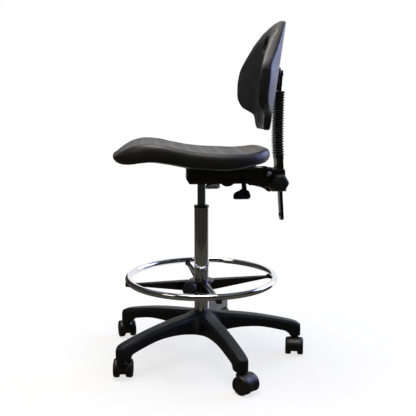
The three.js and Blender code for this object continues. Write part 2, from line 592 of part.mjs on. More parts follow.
function seatSolid() {
  const rim = seatOutline(34);
  const middle = (SEAT_REAR + SEAT_FRONT) / 2;
  const ringAt = (share, height) => rim.map(([x, y]) => {
    const px = middle + (x - middle) * share;
    const py = y * share;
    return [px, py, height(px, py, x)];
  });
  const dish = (y) => 6 * (1 - Math.min(Math.abs(y) / 190, 1) ** 2);
  const top = (drop) => (x, y) => seatTopLine(x) - drop - dish(y);
  const edge = (share) => (x, y, rimX) => {
    const under = seatUnderLine(rimX);
    return mix(under, Math.max(seatTopLine(rimX) - 10, under + 6), share);
  };
  const flat = (share) => (x) => mix(seatUnderLine(x), Math.max(panTop + GAP, seatUnderLine(x) - 9), share);
  return loft([ringAt(0.25, flat(1)), ringAt(0.6, flat(1)), ringAt(0.8, flat(0.55)), ringAt(0.965, flat(0)),
    ringAt(0.992, edge(0.12)), ringAt(1, edge(0.4)), ringAt(0.996, edge(0.72)), ringAt(0.975, edge(0.95)),
    ringAt(0.93, top(2)), ringAt(0.82, top(0)), ringAt(0.5, top(0)), ringAt(0.2, top(0))]);
}
add('seat', seatSolid(), SKIN);

// ---------------------------------------------------------------- upright bar, sleeve and bellows

// Centre line of the bent bar as x over z.
const barLow = (z) => BAR_FOOT.x - Math.tan(radians(BAR_LEAN)) * (z - BAR_FOOT.z);
const barBendX = barLow(BAR_BEND_Z);
const barHigh = curveThrough([[BAR_BEND_Z, barBendX], [800, barBendX - 0.6], [850, barBendX - 0.2],
  [900, barBendX + 0.8], [950, 264], [BAR_TOP.z, BAR_TOP.x]]);
const barX = (z) => (z <= BAR_BEND_Z ? barLow(z) : barHigh(z));

function barProfile(extra, low, high) {
  const heights = [low, BAR_BEND_Z, 800, 850, 900, 930, 960, high].filter((z) => z >= low && z <= high);
  const side = (offset) => heights.map((z) => [barX(z) + offset, z]);
  const half = BAR_T / 2 + extra;
  return [...side(half), ...side(-half).reverse()].map(([x, z]) => new THREE.Vector2(x, z));
}

const backPlateSlope = Math.atan2(BAR_TOP.x - barX(930), BAR_TOP.z - 930);
const screwHeights = [948, 982];
const rearward = new THREE.Vector3(Math.cos(backPlateSlope), 0, -Math.sin(backPlateSlope));
const along = (z, distance) => [barX(z) + rearward.x * distance, 0, z + rearward.z * distance];

function uprightBar() {
  const flat = prism(barProfile(0, BAR_FOOT.z, BAR_TOP.z), 'y', -BAR_W / 2, BAR_W / 2);
  const ends = prism(outline([[-BAR_W / 2, BAR_FOOT.z, 14], [BAR_W / 2, BAR_FOOT.z, 14], [BAR_W / 2, BAR_TOP.z, 14],
    [-BAR_W / 2, BAR_TOP.z, 14]], 4), 'x', 200, 320);
  const holes = screwHeights.map((z) => bar(along(z, -20), along(z, 20), 4 + GAP, 12));
  const stop = bar([barX(STOP_Z) - BAR_T / 2 - 4, 0, STOP_Z], [barX(STOP_Z), 0, STOP_Z], 5, 12);
  return join(cut(flat.intersect(ends), ...holes), stop);
}
add('upright_bar', uprightBar(), BLACK_STEEL);

function sleeveProfile(half, low, high) {
  return [[barX(low) + half, low], [barX(high) + half, high], [barX(high) - half, high], [barX(low) - half, low]]
    .map(([x, z]) => new THREE.Vector2(x, z));
}

function guideSleeve() {
  const outer = prism(sleeveProfile(11, SLEEVE_BOTTOM, SLEEVE_TOP), 'y', -32, 32);
  const slot = prism(barProfile(RUN, SLEEVE_BOTTOM - 20, SLEEVE_TOP + 20), 'y', -BAR_W / 2 - RUN, BAR_W / 2 + RUN);
  const studHole = bar([CLAMP.x, -60, CLAMP.z], [CLAMP.x, 0, CLAMP.z], 6, 12);
  return cut(outer, slot, studHole);
}
add('guide_sleeve', guideSleeve(), NYLON);

// Rectangular rubber bellows: the outside steps in and out once per rib, the bore clears the bar.
function bellows() {
  const low = SLEEVE_TOP + GAP;
  const pitch = (BELLOWS_TOP - low) / BELLOWS_RIBS;
  const loop = (z, t, w) => {
    const [a, b] = [t / 2, w / 2];
    return [[a, -b], [a, b], [-a, b], [-a, -b]].map(([x, y]) => [barX(z) + x, y, z]);
  };
  const loops = span(BELLOWS_RIBS).flatMap((i) => [
    loop(low + pitch * i, BELLOWS_T - 6, BELLOWS_W - 6),
    loop(low + pitch * (i + 0.5), BELLOWS_T, BELLOWS_W),
  ]);
  loops.push(loop(BELLOWS_TOP, BELLOWS_T - 6, BELLOWS_W - 6));
  const bore = prism(barProfile(1.5, low - 10, BELLOWS_TOP + 10), 'y', -BAR_W / 2 - 1.5, BAR_W / 2 + 1.5);
  return cut(loft(loops), bore);
}
add('bellows', bellows(), RUBBER);

// ---------------------------------------------------------------- back bracket and its clamp

function backBracket() {
  const inner = HOUSING_HALF + 0.7;
  const outer = inner + BRACKET_T;
  const face = outline([[208, 664, 4], [280, 664, 3], [286, 588, 4], [236, 588, 4], [208, 620, 4]]);
  const cheeks = [prism(face, 'y', inner, outer), prism(face, 'y', -outer, -inner)];
  const backLine = (z) => 280 + ((664 - z) / 76) * 6;
  const wall = prism([[backLine(662) - BRACKET_T, 662], [backLine(592) - BRACKET_T, 592], [backLine(592), 592],
    [backLine(662), 662]].map((p) => new THREE.Vector2(...p)), 'y', -outer, outer);
  const lid = box([36, 2 * outer, BRACKET_T], [262, 0, 662.5]);
  const sleeveRoom = prism(sleeveProfile(11 + GAP, 600, SLEEVE_TOP), 'y', -32 - GAP, 32 + GAP);
  const across = (x, z, r) => bar([x, -60, z], [x, 60, z], r, 14);
  return join(cut(join(...cheeks, wall, lid), sleeveRoom, across(PIVOT.x, PIVOT.z, PIVOT_R + RUN),
    across(CLAMP.x, CLAMP.z, 5 + GAP)), bar([LINK_PIN.x, -outer, LINK_PIN.z], [LINK_PIN.x, outer, LINK_PIN.z], LINK_PIN_R, 14));
}
add('back_bracket', backBracket(), BLACK_STEEL);

// Two slotted plates slide on the lock spindle; clamped, they hold the bracket's pin and so the back.
function lockLink() {
  const [dx, dz] = [LOCK.x - LINK_PIN.x, LOCK.z - LINK_PIN.z];
  const [c, s] = [dx / Math.hypot(dx, dz), dz / Math.hypot(dx, dz)];
  const reach = (tilt) => Math.hypot(LOCK.x - pinAt(tilt).x, LOCK.z - pinAt(tilt).z);
  const inLink = (corners, steps) => outline(corners, steps)
    .map((p) => new THREE.Vector2(LINK_PIN.x + p.x * c - p.y * s, LINK_PIN.z + p.x * s + p.y * c));
  const [near, far] = [reach(TILT_RANGE[1]), reach(TILT_RANGE[0])];
  const plate = inLink([[-9, -9, 6], [far + 14, -9, 6], [far + 14, 9, 6], [-9, 9, 6]]);
  const half = LOCK_R + 0.8;
  const slot = inLink([[near - half, -half, 4.4], [far + half, -half, 4.4], [far + half, half, 4.4], [near - half, half, 4.4]]);
  const tube = bar([LINK_PIN.x, -LINK_OUT, LINK_PIN.z], [LINK_PIN.x, LINK_OUT, LINK_PIN.z], 7, 18);
  const body = join(prism(plate, 'y', -LINK_OUT, -LINK_OUT + STEEL), prism(plate, 'y', LINK_OUT - STEEL, LINK_OUT), tube);
  return cut(body, prism(slot, 'y', -LINK_OUT - 1, LINK_OUT + 1),
    bar([LINK_PIN.x, -40, LINK_PIN.z], [LINK_PIN.x, 40, LINK_PIN.z], LINK_PIN_R + RUN, 14));
}
add('lock_link', lockLink(), ZINC);

const cheekOut = HOUSING_HALF + 0.7 + BRACKET_T;
add('pivot_bolt', turned([[0, -cheekOut - 7], [4, -cheekOut - 6.4], [7.5, -cheekOut - 4.4], [9.6, -cheekOut - 1],
  [9.6, -cheekOut - GAP], [PIVOT_R, -cheekOut - GAP], [PIVOT_R, cheekOut + 10], [0, cheekOut + 10]], Y,
[PIVOT.x, 0, PIVOT.z], 20), ZINC);

// The side knob presses its stud on the bar's edge.
const heightKnob = new THREE.Group();
heightKnob.position.set(CLAMP.x, 0, CLAMP.z);
heightKnob.rotation.z = radians(-90);
chair.add(heightKnob);
add('height_knob', clampKnob({ radius: 30.5, depth: 30, lobes: 6, stud: BAR_W / 2 + RUN, studR: 5,
  start: cheekOut + 2 }), NYLON, heightKnob);

// ---------------------------------------------------------------- backrest lock and its cam lever

// The spindle carries a pressed cross pin on which the lever's cam turns.
const camY = -HOUSING_HALF - 12;
add('lock_spindle', join(bar([LOCK.x, -HOUSING_HALF - 17, LOCK.z], [LOCK.x, HOUSING_HALF + 9, LOCK.z], LOCK_R, 16),
  bar([LOCK.x - 9.5, camY, LOCK.z], [LOCK.x + 9.5, camY, LOCK.z], 2, 10)), ZINC);

// Hexagon nuts on the far ends of the pivot bolt and of the lock spindle.
const hexNut = (at, from, r, bore) => cut(turned([[0, from], [r, from], [r, from + 7], [0, from + 7]], Y, [at.x, 0, at.z], 6),
  bar([at.x, 0, at.z], [at.x, 60, at.z], bore + GAP, 14));
add('pivot_nut', hexNut(PIVOT, cheekOut + GAP, 9.5, PIVOT_R), ZINC);
add('lock_nut', hexNut(LOCK, HOUSING_HALF + GAP, 7.5, LOCK_R), ZINC);

// A fan-shaped paddle with a thumb recess, drawn hanging from the origin in x and -z, facing -y.
function paddle(width, height, stem) {
  const half = width / 2;
  const blade = prism(outline([[-stem, 0], [-stem - 2, -8, 4], [-half + 4, -height * 0.55, 6], [-half, -height + 5, 4],
    [-half + 9, -height, 5], [half - 9, -height, 5], [half, -height + 8, 5], [half - 6, -height * 0.45, 6],
    [stem + 2, -6, 4], [stem, 0]]), 'y', -4, 4);
  const recess = prism(outline([[-half * 0.45, -height * 0.4, 5], [-half * 0.55, -height * 0.85, 5],
    [half * 0.5, -height * 0.85, 5], [half * 0.45, -height * 0.4, 5]]), 'y', -6, -2.4);
  return cut(blade, recess);
}

function lockLever() {
  const tilt = 38;
  const head = cut(bar([-8, 0, 0], [8, 0, 0], 9.5, 20), box([2 * LOCK_R + 1.4, 30, 22], [0, 4, 4]),
    bar([-20, 0, 0], [20, 0, 0], 2 + GAP, 10));
  const stem = box([13, 8, 34], [-5, -1, -24]);
  const blade = paddle(56, 36, 7).translate([-14, -1, -33]);
  return cut(join(head, stem, blade), bar([-20, 0, 0], [20, 0, 0], 2 + GAP, 10),
    box([2 * LOCK_R + 1.4, 24, 12], [0, 4, -2])).rotate([-tilt, 0, 0]).translate([LOCK.x, camY, LOCK.z]);
}
add('lock_lever', lockLever(), NYLON);

// ---------------------------------------------------------------- lift lever

const leverZ = LIFT_TOP + 7 + GAP + 3.5;
const leverRod = bentBar([[0, -8, leverZ], [0, 18, leverZ], [0, HOUSING_HALF, leverZ], [6, HOUSING_HALF + 12, leverZ - 3],
  [26, HOUSING_HALF + 26, leverZ - 30], [48, HOUSING_HALF + 44, leverZ - 58]], 3.5);
add('lift_lever_rod', leverRod, BLACK_STEEL);

const leverPaddle = cut(paddle(48, 40, 7).rotate([58, 0, 0]).translate([47, HOUSING_HALF + 38, leverZ - 50]),
  bentBar([[0, -8, leverZ], [0, 18, leverZ], [0, HOUSING_HALF, leverZ], [6, HOUSING_HALF + 12, leverZ - 3],
    [26, HOUSING_HALF + 26, leverZ - 30], [48, HOUSING_HALF + 44, leverZ - 58]], 3.5 + GAP));
add('lift_lever_paddle', leverPaddle, NYLON);

// ---------------------------------------------------------------- backrest

const backHalf = curveThrough([[BACK_BOTTOM, 60], [811, 76], [829, 87], [843, 103], [855, 138], [866, 166], [887, 197],
  [911, 217], [936, 225], [977, 204], [1008, 179], [1042, 143], [1078, 103], [1110, 68], [1138, 34], [BACK_TOP, 16]]);
const backCreaseX = curveThrough([[BACK_BOTTOM, 195], [860, 193.5], [955, 196.5], [1040, 200], [1078, 204], [1110, 224],
  [BACK_TOP, 256]]);
const backSag = curveThrough([[BACK_BOTTOM, 7], [860, 10], [940, 17], [1060, 22], [1100, 16], [BACK_TOP, 2]]);
const backRearX = (z) => 233 + 0.148 * (z - 844);

function backFront(y, z) {
  const d = Math.abs(y) - BACK_CREASE;
  return d > 0 ? backCreaseX(z) - 0.384 * d : backCreaseX(z) + backSag(z) * (1 - (y / BACK_CREASE) ** 2);
}
const backRear = (y, z) => backRearX(z) - (y * y) / (2 * BACK_REAR_R);

// Outline of the shield seen from the front, as [y, z].
function backOutline() {
  const heights = [BACK_BOTTOM, 805, 822, 840, 852, 864, 884, 910, 936, 965, 1000, 1035, 1070, 1100, 1128, 1143, BACK_TOP];
  const right = heights.map((z) => [backHalf(z), z]);
  return [...right, ...right.toReversed().map(([y, z]) => [-y, z])];
}

function backrestSolid() {
  const rim = backOutline();
  const middle = 955;
  const ringAt = (share, depth) => rim.map(([y, z]) => {
    const [py, pz] = [y * share, middle + (z - middle) * share];
    const [front, rear] = [backFront(py, pz), backRear(py, pz)];
    return [mix(front, rear, depth), py, pz];
  });
  return loft([ringAt(0.2, 0), ringAt(0.55, 0), ringAt(0.8, 0), ringAt(0.94, 0), ringAt(0.985, 0.12), ringAt(1, 0.4),
    ringAt(1, 0.65), ringAt(0.985, 0.92), ringAt(0.95, 1), ringAt(0.75, 1), ringAt(0.45, 1), ringAt(0.2, 1)]);
}

const HANDLE = { z: 1082, half: 46, height: 29 };
const handleSlot = prism(outline([[-HANDLE.half, HANDLE.z - HANDLE.height / 2, 13], [HANDLE.half, HANDLE.z - HANDLE.height / 2, 13],
  [HANDLE.half, HANDLE.z + HANDLE.height / 2, 13], [-HANDLE.half, HANDLE.z + HANDLE.height / 2, 13]], 4), 'x', 150, 330);
add('backrest', cut(backrestSolid(), handleSlot), SKIN);

// The mount block fills the space between the shell and the bar.
function backMount() {
  const [low, high] = [928, 1000];
  const face = [[backRearX(high) + GAP, high], [backRearX(low) + GAP, low], [barX(low) - BAR_T / 2 - GAP, low],
    [barX(964) - BAR_T / 2 - GAP, 964], [barX(high) - BAR_T / 2 - GAP, high]];
  const block = prism(face.map((p) => new THREE.Vector2(...p)), 'y', -26, 26);
  return cut(block, ...screwHeights.map((z) => bar(along(z, -40), along(z, 20), 4 + GAP, 12)));
}
add('back_mount', backMount(), BLACK_STEEL);

function backScrew(z) {
  const head = bar(along(z, BAR_T / 2 + GAP), along(z, BAR_T / 2 + 5), 7.5, 14);
  const reach = barX(z) - backRearX(z) - 0.8;
  return join(head, bar(along(z, -reach), along(z, BAR_T / 2 + 2), 4, 12));
}
add('back_screw_lower', backScrew(screwHeights[0]), ZINC);
add('back_screw_upper', backScrew(screwHeights[1]), ZINC);

// ---------------------------------------------------------------- stand the model on the origin

const bounds = new THREE.Box3().setFromObject(chair);
const middlePoint = bounds.getCenter(new THREE.Vector3());
chair.position.set(-middlePoint.x, -middlePoint.y, -bounds.min.z);

export default chair;
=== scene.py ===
# %% [markdown]
# # A drafting chair, piece by piece
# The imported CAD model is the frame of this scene: it says where every piece is and what it moves with.
# Blender adds what CAD left plain, which is the rounded edges, the grain of the foam mouldings, the
# polish of the chrome and the small fasteners. The frame is loaded first, because all places come from it.

# %% Load the frame
import json
import math

import bmesh
import bpy
from mathutils import Matrix, Vector


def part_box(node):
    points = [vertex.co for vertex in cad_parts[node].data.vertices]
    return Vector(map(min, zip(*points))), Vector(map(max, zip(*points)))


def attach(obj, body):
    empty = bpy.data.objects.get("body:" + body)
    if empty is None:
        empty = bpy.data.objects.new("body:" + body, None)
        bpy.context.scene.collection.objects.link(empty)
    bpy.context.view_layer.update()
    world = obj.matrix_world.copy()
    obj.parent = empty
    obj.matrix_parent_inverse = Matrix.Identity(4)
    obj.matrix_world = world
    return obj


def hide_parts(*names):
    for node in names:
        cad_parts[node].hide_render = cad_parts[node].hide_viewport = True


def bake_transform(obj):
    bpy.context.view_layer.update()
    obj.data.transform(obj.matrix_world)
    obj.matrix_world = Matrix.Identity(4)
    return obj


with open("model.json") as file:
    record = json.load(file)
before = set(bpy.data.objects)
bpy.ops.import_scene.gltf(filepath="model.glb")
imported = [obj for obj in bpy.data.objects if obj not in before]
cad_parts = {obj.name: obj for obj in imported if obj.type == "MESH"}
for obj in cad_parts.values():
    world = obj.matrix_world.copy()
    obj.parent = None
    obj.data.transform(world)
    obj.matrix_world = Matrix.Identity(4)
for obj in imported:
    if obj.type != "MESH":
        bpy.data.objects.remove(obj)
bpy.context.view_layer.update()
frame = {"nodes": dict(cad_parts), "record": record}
nodes = frame["nodes"]

# %% [markdown]
# The chair is drawn in millimetres around the axis of its column, with the floor at a height of 5.
# One function turns such a drawing point into the frame's metres, so that each number below can be
# compared with a ruler on a real chair.

# %% Drawing points
column_low, column_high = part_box("column_tube")
AXIS_X = (column_low.x + column_high.x) / 2
AXIS_Y = (column_low.y + column_high.y) / 2
DRAWING_FLOOR = 5


def at(x, y, z):
    """A point of the drawing, in millimetres from the column's axis, as metres in the frame."""
    return Vector((AXIS_X + x / 1000, AXIS_Y + y / 1000, (z - DRAWING_FLOOR) / 1000))


ORIGIN = at(0, 0, 0)
print("column axis stands at", round(AXIS_X, 4), round(AXIS_Y, 4))

# %% [markdown]
# A smooth curve through a few measured stations describes each long line of the chair, such as the top
# of the seat. It is a cubic whose slope never overshoots, so a flat stretch stays flat.

# %% Lines through stations


def line_through(stations):
    """A function that gives the smooth line through [position, value] stations."""
    xs = [s[0] for s in stations]
    ys = [s[1] for s in stations]
    slopes = [(ys[i + 1] - ys[i]) / (xs[i + 1] - xs[i]) for i in range(len(xs) - 1)]
    tangents = [slopes[0]]
    for a, b in zip(slopes, slopes[1:]):
        tangents.append(0 if a * b <= 0 else 2 * a * b / (a + b))
    tangents.append(slopes[-1])

    def value(x):
        i = 0
        while i < len(xs) - 2 and x > xs[i + 1]:
            i += 1
        h = xs[i + 1] - xs[i]
        t = min(max((x - xs[i]) / h, 0), 1)
        return (
            ys[i] * (1 + 2 * t) * (1 - t) ** 2
            + h * tangents[i] * t * (1 - t) ** 2
            + ys[i + 1] * t * t * (3 - 2 * t)
            + h * tangents[i + 1] * t * t * (t - 1)
        )

    return value


def mix(a, b, t):
    return a + (b - a) * t


def smoothstep(low, high, x):
    """Rises softly from 0 at low to 1 at high."""
    t = min(max((x - low) / (high - low), 0), 1)
    return t * t * (3 - 2 * t)


print("half way up a soft step:", smoothstep(0, 1, 0.5))

# %% [markdown]
# ## Colours and shader nodes
# Colours are written as the hex values that a colour picker shows. Shaders count light linearly, so one
# function converts them. A second function adds a shader node with its settings and its links, and every
# material below is a short list of calls to it. The Mix node carries floats, vectors and colours, and its
# colour sockets are numbers 6 and 7, with the result on output 2.

# %% Colour and node helpers


def colour(hex_value):
    """A hex colour as the linear colour that shaders use."""
    channels = [int(hex_value[i : i + 2], 16) / 255 for i in (1, 3, 5)]
    linear = [c / 12.92 if c <= 0.04045 else ((c + 0.055) / 1.055) ** 2.4 for c in channels]
    return (*linear, 1.0)


def add_node(tree, kind, settings=None, inputs=None, output=0):
    """A new shader node, whose inputs are values or the output sockets that feed them.

    Returns one of its outputs, or the node itself when output is None.
    """
    node = tree.nodes.new(kind)
    for name, value in (settings or {}).items():
        setattr(node, name, value)
    for socket, value in (inputs or {}).items():
        if isinstance(value, bpy.types.NodeSocket):
            tree.links.new(value, node.inputs[socket])
        else:
            node.inputs[socket].default_value = value
    return node if output is None else node.outputs[output]


def new_material(name, **surface):
    """A material, its node tree and its Principled shader, with the named sockets of the shader set."""
    material = bpy.data.materials.new(name)
    material.use_nodes = True
    tree = material.node_tree
    shader = tree.nodes["Principled BSDF"]
    for socket, value in surface.items():
        shader.inputs[socket.replace("_", " ")].default_value = value
    return material, tree, shader


print("white as a shader takes it:", colour("#ffffff"))

# %% [markdown]
# ## Moulded plastics and rubber
# What comes out of a mould has the mould's own surface. Such a finish is three things: a colour that
# clouds slowly over the piece, a roughness that clouds with it, and a fine relief. One function makes
# them, from the size of the clouds and of the relief in millimetres.

# %% Moulded finish


def moulded_finish(name, dark, light, roughness, cloud_mm, relief_mm, depth_mm, **surface):
    material, tree, shader = new_material(name, **surface)
    where = add_node(tree, "ShaderNodeTexCoord", output="Object")
    cloud = add_node(
        tree, "ShaderNodeTexNoise", None, {"Vector": where, "Scale": 1000 / cloud_mm, "Detail": 4}
    )
    spread = add_node(
        tree, "ShaderNodeMapRange", None, {"Value": cloud, "From Min": 0.35, "From Max": 0.65}
    )
    tint = add_node(
        tree, "ShaderNodeMix", {"data_type": "RGBA"}, {0: spread, 6: colour(dark), 7: colour(light)}, 2
    )
    gloss = add_node(
        tree, "ShaderNodeMapRange", None,
        {"Value": cloud, "To Min": roughness - 0.06, "To Max": roughness + 0.08},
    )
    relief = add_node(
        tree, "ShaderNodeTexNoise", None, {"Vector": where, "Scale": 1000 / relief_mm, "Detail": 2}
    )
    bump = add_node(tree, "ShaderNodeBump", None, {"Height": relief, "Distance": depth_mm / 1000})
    tree.links.new(tint, shader.inputs["Base Color"])
    tree.links.new(gloss, shader.inputs["Roughness"])
    tree.links.new(bump, shader.inputs["Normal"])
    return material


print("materials so far:", len(bpy.data.materials))

# %% [markdown]
# Glass-filled nylon makes the base, the ring hub, the castors and the knobs. Its steel mould is
# spark-eroded, which leaves a satin of about half a millimetre, and the glass fibres cloud the surface.
# Acetal is smoother, because the bush has to slide. The bellows is rubber: duller, with a dusty bloom
# that shows as a little sheen at its edges.

# %% Nylon, acetal, polypropylene and rubber
# The refractive index of nylon. Acetal, polypropylene and rubber give their own below.
NYLON = 1.53
base_nylon = moulded_finish(
    "glass_filled_nylon_base", "#131419", "#191a1f", 0.46, 30, 0.6, 0.05, IOR=NYLON, Specular_IOR_Level=0.32
)
castor_nylon = moulded_finish("moulded_nylon_castor", "#111113", "#171719", 0.4, 24, 0.6, 0.04, IOR=NYLON)
tread_nylon = moulded_finish("turned_nylon_tread", "#121214", "#1a1a1c", 0.5, 12, 0.8, 0.05, IOR=NYLON)
hub_nylon = moulded_finish("glass_filled_nylon_hub", "#131417", "#1a1b1e", 0.38, 26, 0.6, 0.05, IOR=NYLON)
knob_nylon = moulded_finish("spark_textured_nylon_knob", "#1a1a1c", "#222225", 0.55, 14, 0.7, 0.1, IOR=NYLON)
lever_nylon = moulded_finish("moulded_nylon_lever", "#111113", "#171719", 0.38, 16, 0.6, 0.04, IOR=NYLON)
sleeve_nylon = moulded_finish("moulded_nylon_sleeve", "#111113", "#18181b", 0.42, 20, 0.6, 0.05, IOR=NYLON)
bush_acetal = moulded_finish("moulded_acetal_bush", "#101012", "#17171a", 0.3, 20, 0.5, 0.02, IOR=1.48)
pan_polypropylene = moulded_finish(
    "moulded_polypropylene", "#151517", "#1d1d1f", 0.5, 30, 0.9, 0.08, IOR=1.49
)
bellows_rubber = moulded_finish(
    "moulded_black_rubber", "#101011", "#18181a", 0.44, 12, 0.7, 0.06, IOR=1.52, Sheen_Weight=0.12
)
print("plastics and rubber:", len(bpy.data.materials), "materials")

# %% [markdown]
# ## Integral-skin polyurethane foam
# Seat and backrest are one foam moulding each. Against the mould the foam turns into a tough skin, which
# takes a fine leather-like grain: cells of a little over a millimetre, with soft valleys between them. It
# looks black and soft, with broad weak highlights and no clear reflections. The seat's grip fields are a
# little darker than the skin around them, and the grip slots are painted dark as painted shade in their
# grooves; the piece marks both with an attribute.

# %% Polyurethane skin
CLOUD_MM, PORE_MM, PORE_DEPTH_MM = 55, 0.5, 0.02
CELL_MM, CELL_DEPTH_MM = 1.3, 0.1


def polyurethane_skin(name, dark, light, field, roughness):
    material = moulded_finish(name, dark, light, roughness, CLOUD_MM, PORE_MM, PORE_DEPTH_MM, IOR=1.5)
    tree = material.node_tree
    shader = tree.nodes["Principled BSDF"]
    where = add_node(tree, "ShaderNodeTexCoord", output="Object")
    wobble = add_node(tree, "ShaderNodeTexNoise", None, {"Vector": where, "Scale": 420, "Detail": 2}, "Color")
    bent = add_node(tree, "ShaderNodeMix", {"data_type": "VECTOR"}, {0: 0.0012, 4: where, 5: wobble}, 1)
    cells = add_node(
        tree, "ShaderNodeTexVoronoi", {"feature": "DISTANCE_TO_EDGE"},
        {"Vector": bent, "Scale": 1000 / CELL_MM},
    )
    pores = shader.inputs["Normal"].links[0].from_socket
    grain = add_node(
        tree, "ShaderNodeBump", None,
        {"Height": cells, "Distance": CELL_DEPTH_MM / 1000, "Strength": 0.5, "Normal": pores},
    )
    tree.links.new(grain, shader.inputs["Normal"])
    # The attribute mixes the colour towards the third colour: a little on the seat's grip fields, and fully
    # in the slots as painted shade.
    field_tone_and_slot_shade = add_node(tree, "ShaderNodeAttribute", {"attribute_name": "field_tone_and_slot_shade"}, output="Fac")
    plain = shader.inputs["Base Color"].links[0].from_socket
    darkened_fields_and_shaded_slots = add_node(
        tree, "ShaderNodeMix", {"data_type": "RGBA"}, {0: field_tone_and_slot_shade, 6: plain, 7: colour(field)}, 2
    )
    tree.links.new(darkened_fields_and_shaded_slots, shader.inputs["Base Color"])
    return material


# The third colour of each skin is the painted shade in its slots, and on the seat also the fields' darker
# tone.
seat_skin = polyurethane_skin("integral_skin_polyurethane_seat", "#1b1b1d", "#232326", "#0e0e0f", 0.46)
# The backrest's skin is the seat's foam painted lighter, for the light that the backrest catches.
back_skin = polyurethane_skin("integral_skin_polyurethane_back_painted_lighter", "#212125", "#2a2a2f", "#101012", 0.48)
print("foam skins:", seat_skin.name, back_skin.name)

# %% [markdown]
# ## Powder-coated steel
# The mechanism is pressed from steel sheet and powder-coated in satin black. Baked powder has a slight
# orange peel of about two millimetres, so it is made as a moulded finish with a coarser relief.

# %% Powder coat
mechanism_paint = moulded_finish(
    "black_powder_coated_steel", "#0a0a0c", "#0f0f11", 0.38, 40, 2.0, 0.05, IOR=1.5
)
print("powder coat:", mechanism_paint.name)

# %% [markdown]
# ## Chrome and zinc
# Chrome plate is polished steel under nickel and a thin film of chromium: almost a mirror, with faint
# polishing lines and finger marks. Zinc plate on small fittings is dull silver with a fine mottle. Both
# are metals, so their colour is the colour of what they reflect.

# %% Plated finishes


def plated_finish(name, dark, light, low, high, mottle_mm, relief_mm, depth_mm, stretch=(1, 1, 1)):
    """Roughness runs between low and high. Stretch makes the relief run along an axis."""
    material, tree, shader = new_material(name, Metallic=1.0)
    where = add_node(tree, "ShaderNodeTexCoord", output="Object")
    mottle = add_node(
        tree, "ShaderNodeTexNoise", None, {"Vector": where, "Scale": 1000 / mottle_mm, "Detail": 4}
    )
    tint = add_node(
        tree, "ShaderNodeMix", {"data_type": "RGBA"}, {0: mottle, 6: colour(dark), 7: colour(light)}, 2
    )
    gloss = add_node(tree, "ShaderNodeMapRange", None, {"Value": mottle, "To Min": low, "To Max": high})
    drawn = add_node(tree, "ShaderNodeMapping", None, {"Vector": where, "Scale": stretch})
    lines = add_node(
        tree, "ShaderNodeTexNoise", None, {"Vector": drawn, "Scale": 1000 / relief_mm, "Detail": 3}
    )
    bump = add_node(tree, "ShaderNodeBump", None, {"Height": lines, "Distance": depth_mm / 1000})
    tree.links.new(tint, shader.inputs["Base Color"])
    tree.links.new(gloss, shader.inputs["Roughness"])
    tree.links.new(bump, shader.inputs["Normal"])
    return material


TUBE_LINES = (1, 1, 0.02)
column_chrome = plated_finish(
    "bright_chrome_plated_tube", "#d0d1d4", "#dadbde", 0.04, 0.12, 30, 3, 0.008, TUBE_LINES
)
ring_chrome = plated_finish("bright_chrome_plated_ring", "#dadbe0", "#e4e5ea", 0.03, 0.1, 25, 4, 0.006)
lift_steel = plated_finish(
    "ground_and_blackened_steel", "#6f767d", "#858c93", 0.26, 0.36, 25, 2, 0.01, TUBE_LINES
)
zinc_fittings = plated_finish("zinc_plated_steel", "#b4b6ba", "#d8dadd", 0.3, 0.46, 4, 0.6, 0.02)
castor_steel = plated_finish("zinc_plated_castor_steel", "#8e9094", "#b4b6ba", 0.3, 0.45, 4, 0.6, 0.02)
lift_inner_steel = plated_finish(
    "ground_steel_rod", "#b0b2b5", "#cfd1d4", 0.14, 0.24, 10, 1, 0.01, TUBE_LINES
)
print("plated finishes:", column_chrome.name, ring_chrome.name, zinc_fittings.name)

# %% [markdown]
# The inner pieces of the gas lift and of the mechanism keep their CAD shape, which is right for turned
# and pressed steel. They only get the finish of their slot.

# %% Finishes on the CAD nodes
slot_finish = {
    "backrest_skin": back_skin, "seat_skin": seat_skin, "base_nylon": base_nylon,
    "castor_nylon": castor_nylon, "castor_steel": castor_steel, "column_chrome": column_chrome,
    "lift_steel": lift_steel, "bush_nylon": bush_acetal, "lift_inner_steel": lift_inner_steel,
    "ring_chrome": ring_chrome, "hub_nylon": hub_nylon, "knob_nylon": knob_nylon,
    "mechanism_paint": mechanism_paint, "zinc_fittings": zinc_fittings, "pan_nylon": pan_polypropylene,
    "lever_nylon": lever_nylon, "sleeve_nylon": sleeve_nylon, "bellows_rubber": bellows_rubber,
}
for row in frame["record"]["subparts"]:
    cad_mesh = nodes[row["node"]].data
    cad_mesh.materials.clear()
    cad_mesh.materials.append(slot_finish[row["material_slot"]])
print("finished", len(nodes), "CAD nodes")

# %% [markdown]
# ## Camera
# The chair is looked at from its left, a little from the front and from above, with a lens of 58 mm.

# %% Camera
camera = bpy.data.objects.new("camera", bpy.data.cameras.new("camera"))
bpy.context.scene.collection.objects.link(camera)
camera.location = at(-223.2, -2259.65, 894.31)
camera.data.sensor_width = 36
camera.data.lens = 58.2
turn, pitch = math.radians(6.2), math.radians(-9.12)
sight = Vector((math.sin(turn) * math.cos(pitch), math.cos(turn) * math.cos(pitch), math.sin(pitch)))
camera.rotation_mode = "QUATERNION"
camera.rotation_quaternion = sight.to_track_quat("-Z", "Y")
bpy.context.scene.camera = camera
bpy.context.scene.view_settings.view_transform = "Standard"
print("camera looks along", sight)

# %% [markdown]
# ## Studio
# The chair stands on pale paper. Chrome shows its surroundings more than itself, so the studio has a dark
# cloth hung round the chair, an olive carpet and a grey ceiling. They show only in reflections, and a
# sector behind the chair stays open to the white backdrop.

# %% Stage helpers


def deselect_all():
    """Every new primitive starts from a clean selection."""
    if bpy.context.object and bpy.context.object.mode == "EDIT":
        bpy.ops.object.mode_set(mode="OBJECT")
    bpy.ops.object.select_all(action="DESELECT")


def glossy_only(obj):
    """Studio cloth is seen in reflections alone, so it takes no light from the chair."""
    obj.visible_camera = False
    obj.visible_diffuse = False
    obj.visible_transmission = False
    obj.visible_volume_scatter = False
    obj.visible_shadow = False


